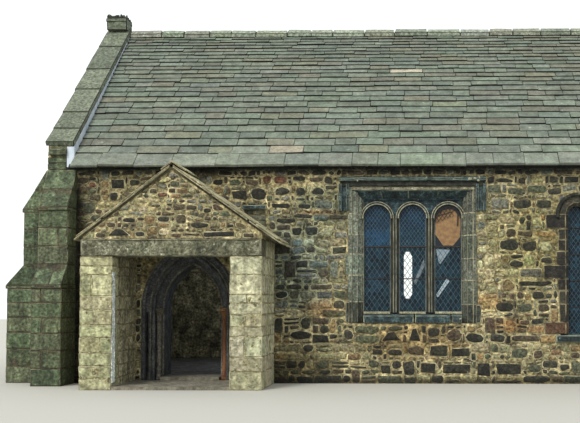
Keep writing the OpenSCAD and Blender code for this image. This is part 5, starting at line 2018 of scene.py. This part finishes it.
    def head(self) -> None:
        """Lines the splayed head with dark stones under a pale fillet."""
        section = Section(((0.02, 3.727), (-0.010, 3.727), (-0.014, 3.735), (-0.014, 3.782), (0.02, 3.787)),
                          (2, 3))
        heap = Heap(section.master(8), rough=0.004, rough_size=0.1)
        draw = chance(103)
        for a, b in ((-1.2, -0.42), (-0.42, 0.36), (0.36, 1.2)):
            cell = [(WINDOW_X + x, SOUTH + u, z) for u, z, x in section.length(a + 0.003, b - 0.003)]
            heap.add(cell, varied("#8A8468", draw, 0.1))
        self.lay(heap, "window_head_fillet", "window_stone", "ashlar")
        slope = blocks(3, 0.006, 0.004, 0.12)
        joints = (-1.13, -0.62, -0.08, 0.5, 1.13)
        for a, b in pairwise(joints):
            cell = []
            for x, deep, above in product((a + 0.003, b - 0.003), (0, 1), (0, 1)):
                y = SOUTH + (0.165 if deep else 0.01)
                z = (3.578 if deep else 3.72) + (0.02 if above else -0.008)
                cell.append((WINDOW_X + x * (0.94 if deep else 1), y, z))
            slope.add(cell, varied("#1E2828", draw, 0.25))
        self.lay(slope, "window_head_soffit", "soot_stone", "dark_stone")

    def sill(self) -> None:
        """Makes the two long dark sill stones, the small one at their east end and the pale noses."""
        low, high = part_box("window_sill")
        draw = chance(104)
        heap = blocks(6, 0.014, 0.008, 0.1)
        stones = ((low.x, -0.84, "#1E2526"), (-0.825, -0.13, "#22292A"), (-0.115, high.x, "#4A5048"))
        for a, b, tone in stones:
            cell = []
            for x, out, above in product((a + 0.004, b - 0.004), (0, 1), (0, 1)):
                y = SOUTH - 0.028 if out else SOUTH + 0.45
                z = (1.298 if out else 1.362) if above else 1.155
                cell.append((x, y, z))
            heap.add(cell, varied(tone, draw, 0.1))
        self.lay(heap, "window_sill_stones", "soot_stone", "dark_stone", "window_sill")
        nose = blocks(2, 0.005, 0.004, 0.1)
        for index in range(3):
            x = WINDOW_X + (index - 1) * self.pitch
            nose.box((x - 0.256, SOUTH + 0.17, 1.33), (x + 0.256, SOUTH + 0.277, 1.374), "#A89C7C")
        self.lay(nose, "window_sill_noses", "pale_arris", "ashlar")

    def glazing(self) -> None:
        """Sets the leads, the panes, the iron bars and the board behind the broken light."""
        leads, torn, panes, bars = blocks(0, 0.0015), blocks(0, 0.0015), blocks(0, 0.0006), blocks(0, 0.004)
        for index in range(3):
            bands = ((self.foot, self.bar - 0.01, 0.1, 0.145), (self.bar + 0.01, 3.456, 0.072, 0.1))
            shown = bands if index < 2 else bands[:1]
            light = Leading(self.light_half, self.foot, self.spring, self.glass, self.place(index), shown)
            light.cames(leads)
            light.panes(panes, self.tone(index), 110 + index)
            for z, thick in ((self.bar, 0.011), (2.02, 0.006)):
                light.bar(bars, (-self.light_half, z), (self.light_half, z), thick, (0.006, 0.026))
            for x in (-self.light_half + 0.006, self.light_half - 0.006):
                light.bar(leads, (x, self.foot), (x, self.spring), 0.007, (0.004, 0.011))
        broken = Leading(self.light_half, self.foot, self.spring, self.glass - 0.012, self.place(2),
                         bands[1:])
        broken.cames(torn, lambda x, z: (z > 3.17 + 0.35 * (x + 0.05)) & (x < 0.11))
        for start, end, thick in (((0.13, 3.36), (0.195, 3.28), 0.012), ((0.195, 3.28), (0.185, 3.04), 0.014),
                                  ((-0.2, 3.24), (0.08, 3.32), 0.01)):
            broken.bar(torn, start, end, thick, (0.002, 0.008))
        self.lay(leads, "window_leads", "came", "lead", smooth=20)
        self.lay(torn, "window_torn_leads", "iron", "lead", smooth=20)
        self.lay(panes, "window_panes", "pane", "glazing", smooth=20)
        self.lay(bars, "window_saddle_bars", "iron", "lead")
        self.glints()
        self.board()

    def glints(self) -> None:
        """Paints light into panes: a bright window beyond that shows through the middle light, and pale
        diagonal streaks of painted reflection.
        """
        heap = blocks(0, 0.008)
        for index, spots, tone in (
            # The first three: painted light of the bright window beyond; the rest: painted reflections
            (1, ((-0.169, 1.71), (-0.009, 1.71), (-0.009, 2.46), (-0.169, 2.46)), "#F4F8F6"),
            (1, ((-0.169, 2.46), (-0.009, 2.46), (-0.05, 2.54), (-0.13, 2.54)), "#F4F8F6"),
            (1, ((-0.13, 1.63), (-0.05, 1.63), (-0.009, 1.71), (-0.169, 1.71)), "#F4F8F6"),
            (1, ((0.02, 1.95), (0.06, 1.9), (0.24, 2.28), (0.22, 2.4)), "#2A3E4C"),
            (2, ((-0.18, 2.33), (-0.15, 2.3), (0.045, 2.58), (-0.236, 2.59)), "#5C707C"),
            (2, ((-0.235, 1.7), (-0.2, 1.65), (0.03, 1.97), (-0.03, 2.02)), "#8496A0"),
        ):
            cell = []
            for a, b, front in product((0, 1), (0, 1), (0.003, 0.0066)):
                x, z = spots[3 - a if b else a]
                cell.append((x, self.glass - front, z))
            heap.add(cell, tone, self.place(index))
        self.lay(heap, "window_painted_light_panes", "bright_pane", "glazing", smooth=20)

    def tone(self, index: int) -> Callable[[float, float, Draw], str]:
        """Gives the rule for one light's pane colours.

        Args:
            index: 0, 1 or 2 from the west.

        Returns:
            The rule, from a pane's place to its colour.
        """
        def chosen(x: float, z: float, draw: Draw) -> str:
            """Picks a pane's colour."""
            if index == 0 and math.hypot(x + 0.02, (z - 1.98) * 0.6) < 0.14:
                return varied("#1E3444", draw, 0.2)
            # Panes higher up are paler blue: a painted reflection of the sky
            if z > 2.95:
                return varied("#0E2C42", draw, 0.25)
            if z > 2.64:
                return varied("#14405E" if index == 0 else "#12303F", draw, 0.2)
            pool = ("#0C1A20", "#12262E", "#183038")
            return one_of(pool, draw)

        return chosen

    def board(self) -> None:
        """Makes the board behind the broken upper half of the east light."""
        x, y = WINDOW_X + self.pitch, SOUTH + self.glass - 0.002
        edge = ((-0.096, 2.663), (0.1, 2.663), (0.235, 2.83), (0.25, 3.16), (0.2, 3.28), (0.1, 3.36),
                (0.0, 3.375), (-0.1, 3.35), (-0.2, 3.27), (-0.25, 3.14), (-0.25, 2.884))
        piece = outline((x + u, y, z) for u, z in edge)
        extrude(0, -0.006, 0)
        self.put(softened(close(piece, "window_board"), 30), "board", "oak")

    def build(self) -> None:
        """Makes and dresses the window."""
        self.jambs()
        self.mullions()
        self.arches()
        self.label()
        self.head()
        self.sill()
        self.glazing()


@dataclass
class Lancets(Part):
    """Long and short quoins, voussoirs, hoods, sills and leading of the lancets and the north slits."""

    half: float = 0.165
    chamfer: float = 0.07
    foot: float = 0.95
    spring: float = 3.25

    def places(self) -> list[Matrix]:
        """Frames every lancet."""
        south = [wall_place("south", x) for x in SOUTH_LANCETS]
        gables = (("west", 0), ("east", -EAST_PITCH), ("east", 0), ("east", EAST_PITCH))
        return south + [wall_place(wall, y, 0 if y else LANCET_RISE) for wall, y in gables]

    def quoins(self, heap: Heap, place: Matrix, half: float, rows: Iterable[Spot],
               draw: Draw) -> None:
        """Lays long and short stones up both sides of one opening.

        Args:
            heap: The stones.
            place: The opening's frame.
            half: Its half width.
            rows: Each stone's foot, top and reach from the opening's middle.
            draw: Source of chance.
        """
        tones = ("#1E1D18", "#2C2A22", "#3A382C", "#26241C")
        for side, (i, (low, high, tail)) in product((-1, 1), enumerate(rows)):
            outer = tail + draw.uniform(-0.02, 0.012)
            cell = []
            for across, out, above in ENDS:
                x = outer if across else half + self.chamfer * out - 0.007
                z = high - 0.003 if above else low + 0.003
                cell.append((side * x, -0.016 if out else self.chamfer, z))
            tone = "#6A4630" if i == 0 else "#14130F" if tail > 0.5 else tones[draw.integers(len(tones))]
            heap.add(cell, varied(tone, draw), place)

    def voussoirs(self, place: Matrix, half: float, spring: float, outer: float, name: str,
                  seed: int) -> Piece:
        """Lays the stones of one round head, bent from a straight row.

        Args:
            place: The opening's frame.
            half: Its half width.
            spring: Its springing.
            outer: The stones' outer radius.
            name: The piece's name.
            seed: Source of chance.

        Returns:
            The piece.
        """
        draw = chance(seed)
        heap = blocks(4, 0.008, 0.004, 0.1)
        for i in range(5):
            cell = []
            for along, out, above in ENDS:
                angle = (i + along) / 5 * math.pi + 0.012 * (1 - 2 * along)
                radius = outer if above else half + self.chamfer * out - 0.007
                cell.append((angle, -0.016 if out else self.chamfer, radius))
            heap.add(cell, varied("#3A382C", draw, 0.3))

        def around(points: np.ndarray) -> np.ndarray:
            """Bends the row round the head."""
            bent = np.stack([-np.cos(points[:, 0]) * points[:, 2], points[:, 1],
                             spring + np.sin(points[:, 0]) * points[:, 2]], axis=1)
            return moved(bent, place)

        return heap.build(name, 30, around)

    def hoods(self) -> None:
        """Spins one hood moulding, sets a copy over every lancet and joins the copies."""
        section = ((0.345, 0.01), (0.345, -0.045), (0.365, -0.066), (0.4, -0.066), (0.413, -0.03),
                   (0.413, 0.01))
        piece = outline((-radius, y, self.spring - 0.06) for radius, y in section)
        extrude(0, 0, 0.06)
        bpy.ops.mesh.spin(steps=26, angle=-math.pi, center=(0, 0, self.spring), axis=(0, 1, 0))
        extrude(0, 0, -0.06)
        close(piece, "lancet_hood_stones")
        copies = [piece]
        for _ in self.places()[1:]:
            copy = piece.copy()
            copy.data = piece.data.copy()
            bpy.context.scene.collection.objects.link(copy)
            copies.append(copy)
        for copy, place in zip(copies, self.places()):
            copy.data.transform(place)
            copy.select_set(True)
        bpy.context.view_layer.objects.active = piece
        bpy.ops.object.join()
        self.put(softened(piece, 35), "dark_hood", "dark_stone", "lancet_hoods")

    def glaze(self, leads: Heap, panes: Heap, bars: Heap, place: Matrix, size: Spot,
              seed: int) -> None:
        """Sets the leads and panes of one opening.

        Args:
            leads: The leads so far.
            panes: The panes so far.
            bars: The iron bars so far.
            place: The opening's frame.
            size: Its half width, foot and springing.
            seed: Source of chance.
        """
        half, foot, spring = size
        light = Leading(half, foot, spring, 0.2, place, ((foot, spring + half + 0.01, 0.085, 0.12),))
        light.cames(leads)
        pool = ("#0C1A20", "#12262E", "#1A3A4A", "#10222C")
        light.panes(panes, lambda x, z, draw: one_of(pool, draw), seed)
        steps = max(1, round((spring - foot) / 0.6))
        for i in range(1, steps + 1):
            z = foot + (spring - foot) * i / (steps + 0.5)
            light.bar(bars, (-half, z), (half, z), 0.006, (0.006, 0.024))

    def build(self) -> None:
        """Makes and dresses every lancet and slit."""
        draw = chance(120)
        quoins, slits = blocks(3, 0.012, 0.008, 0.09), blocks(3, 0.012, 0.008, 0.09)
        sills = blocks(4, 0.014, 0.008, 0.1)
        leads, panes, bars = blocks(0, 0.0015), blocks(0, 0.0006), blocks(0, 0.003)
        size = (self.half, self.foot, self.spring)
        self.hoods()
        for i, place in enumerate(self.places()):
            self.quoins(quoins, place, self.half, QUOIN_ROWS, draw)
            head = self.voussoirs(place, self.half, self.spring, 0.338, f"lancet_voussoirs_{i + 1}", 130 + i)
            self.put(head, "dark_quoin", "ashlar")
            self.glaze(leads, panes, bars, place, size, 140 + i)
            cell = [(x, -0.056 if out else 0.18, (0.925 if out else 0.955) if above else 0.795)
                    for x, out, above in product((-0.42, 0.42), (0, 1), (0, 1))]
            sills.add(cell, "#20221E", place)
        half, _, spring = SLIT_SIZE
        for i, x in enumerate(SLITS):
            place = wall_place("north", x)
            self.quoins(slits, place, half, SLIT_ROWS, draw)
            self.glaze(leads, panes, bars, place, SLIT_SIZE, 150 + i)
            head = self.voussoirs(place, half, spring, 0.262, f"slit_voussoirs_{i + 1}", 160 + i)
            self.put(head, "window_stone", "ashlar")
        self.lay(quoins, "lancet_quoins", "dark_quoin", "ashlar")
        self.lay(slits, "slit_quoins", "window_stone", "ashlar")
        self.lay(sills, "lancet_sill_stones", "soot_stone", "dark_stone", "lancet_sills")
        self.lay(leads, "lancet_leads", "came", "lead", smooth=20)
        self.lay(panes, "lancet_panes", "pane", "glazing", smooth=20)
        self.lay(bars, "lancet_bars", "iron", "lead")


@dataclass
class Studio:
    """Camera, lights and floor."""

    eye: Vector = field(default_factory=lambda: Vector((-0.8, -23.02, 1.6)))
    yaw: float = math.radians(1.2)
    pitch: float = math.radians(2.2)

    def hang(self, data: bpy.types.ID, place: Iterable, turn: Iterable = (0, 0, 0)) -> Piece:
        """Sets a camera or a lamp in the scene."""
        piece = bpy.data.objects.new(data.name, data)
        piece.location = place
        piece.rotation_euler = turn
        bpy.context.scene.collection.objects.link(piece)
        return piece

    def build(self) -> None:
        """Adds the camera, the lights and the floor."""
        scene = bpy.context.scene
        lens = bpy.data.cameras.new("photo_camera")
        lens.lens, lens.sensor_width, lens.clip_end = 62.07, 36, 300
        lens.shift_x, lens.shift_y = -0.181, 0.0864
        level = math.cos(self.pitch)
        forward = Vector((-math.sin(self.yaw) * level, math.cos(self.yaw) * level, math.sin(self.pitch)))
        scene.camera = self.hang(lens, self.eye, forward.to_track_quat("-Z", "Y").to_euler())
        world = bpy.data.worlds.new("overcast")
        world.use_nodes = True
        light = world.node_tree.nodes["Background"].inputs
        light["Color"].default_value = (0.95, 0.98, 1.0, 1)
        light["Strength"].default_value = 1.2
        scene.world = world
        sun = bpy.data.lights.new("soft_sun", "SUN")
        sun.energy, sun.angle, sun.color = 2.45, math.radians(18), (1.0, 0.98, 0.93)
        self.hang(sun, (0, 0, 0), (math.radians(44), 0, math.radians(-26)))
        glow = bpy.data.lights.new("nave_glow", "POINT")
        glow.energy, glow.shadow_soft_size, glow.color = 75, 0.8, (0.65, 0.76, 1.0)
        self.hang(glow, (PORCH_X + 0.6, 0, 2.9))
        scene.view_settings.view_transform = "Standard"
        bpy.ops.object.select_all(action="DESELECT")
        bpy.ops.mesh.primitive_plane_add(size=120)
        floor = bpy.context.active_object
        floor.name = "studio_floor"
        graph = Graph("pale_floor")
        floor.data.materials.append(graph.finish(linear("#ACAAA2"), None, 0, {"Roughness": 0.95}))


# Finishes of the frame's own solids, by their slot, and of those that differ from their slot
SLOT_FINISHES = {
    "rubble": "mortar", "slate": "slate_bed", "coping": "core", "ashlar": "core", "dark_stone": "dark_hood",
    "lintel": "core", "oak": "oak", "lead": "lead", "glazing": "glass", "paving": "paving",
}
NODE_FINISHES = {
    "porch_wall_west": "pale_joint", "porch_wall_east": "pale_joint", "window_head": "tracery",
    **dict.fromkeys(("door_jambs", "door_arch", "door_shafts", "door_capitals", "lancet_surrounds",
                     "slit_surrounds"), "shaded"),
}


def main() -> None:
    """Builds the chapel's pieces in order, then the studio round it."""
    logging.basicConfig(level=logging.INFO, format="%(name)s: %(message)s")
    made = {name: finish.build() for name, finish in FINISHES.items()}
    carried = Part(made)
    painted = {row["node"]: SLOT_FINISHES[row["material_slot"]] for row in frame["record"]["subparts"]}
    painted |= NODE_FINISHES
    for name, finish in painted.items():
        carried.coat(frame["nodes"][name].data, finish)
    for part in (Rubble, NaveRoof, Gables, Buttresses, Porch, Doorway, ThreeLightWindow, Lancets):
        part(made).build()
    Studio().build()


if __name__ == "__main__":
    main()
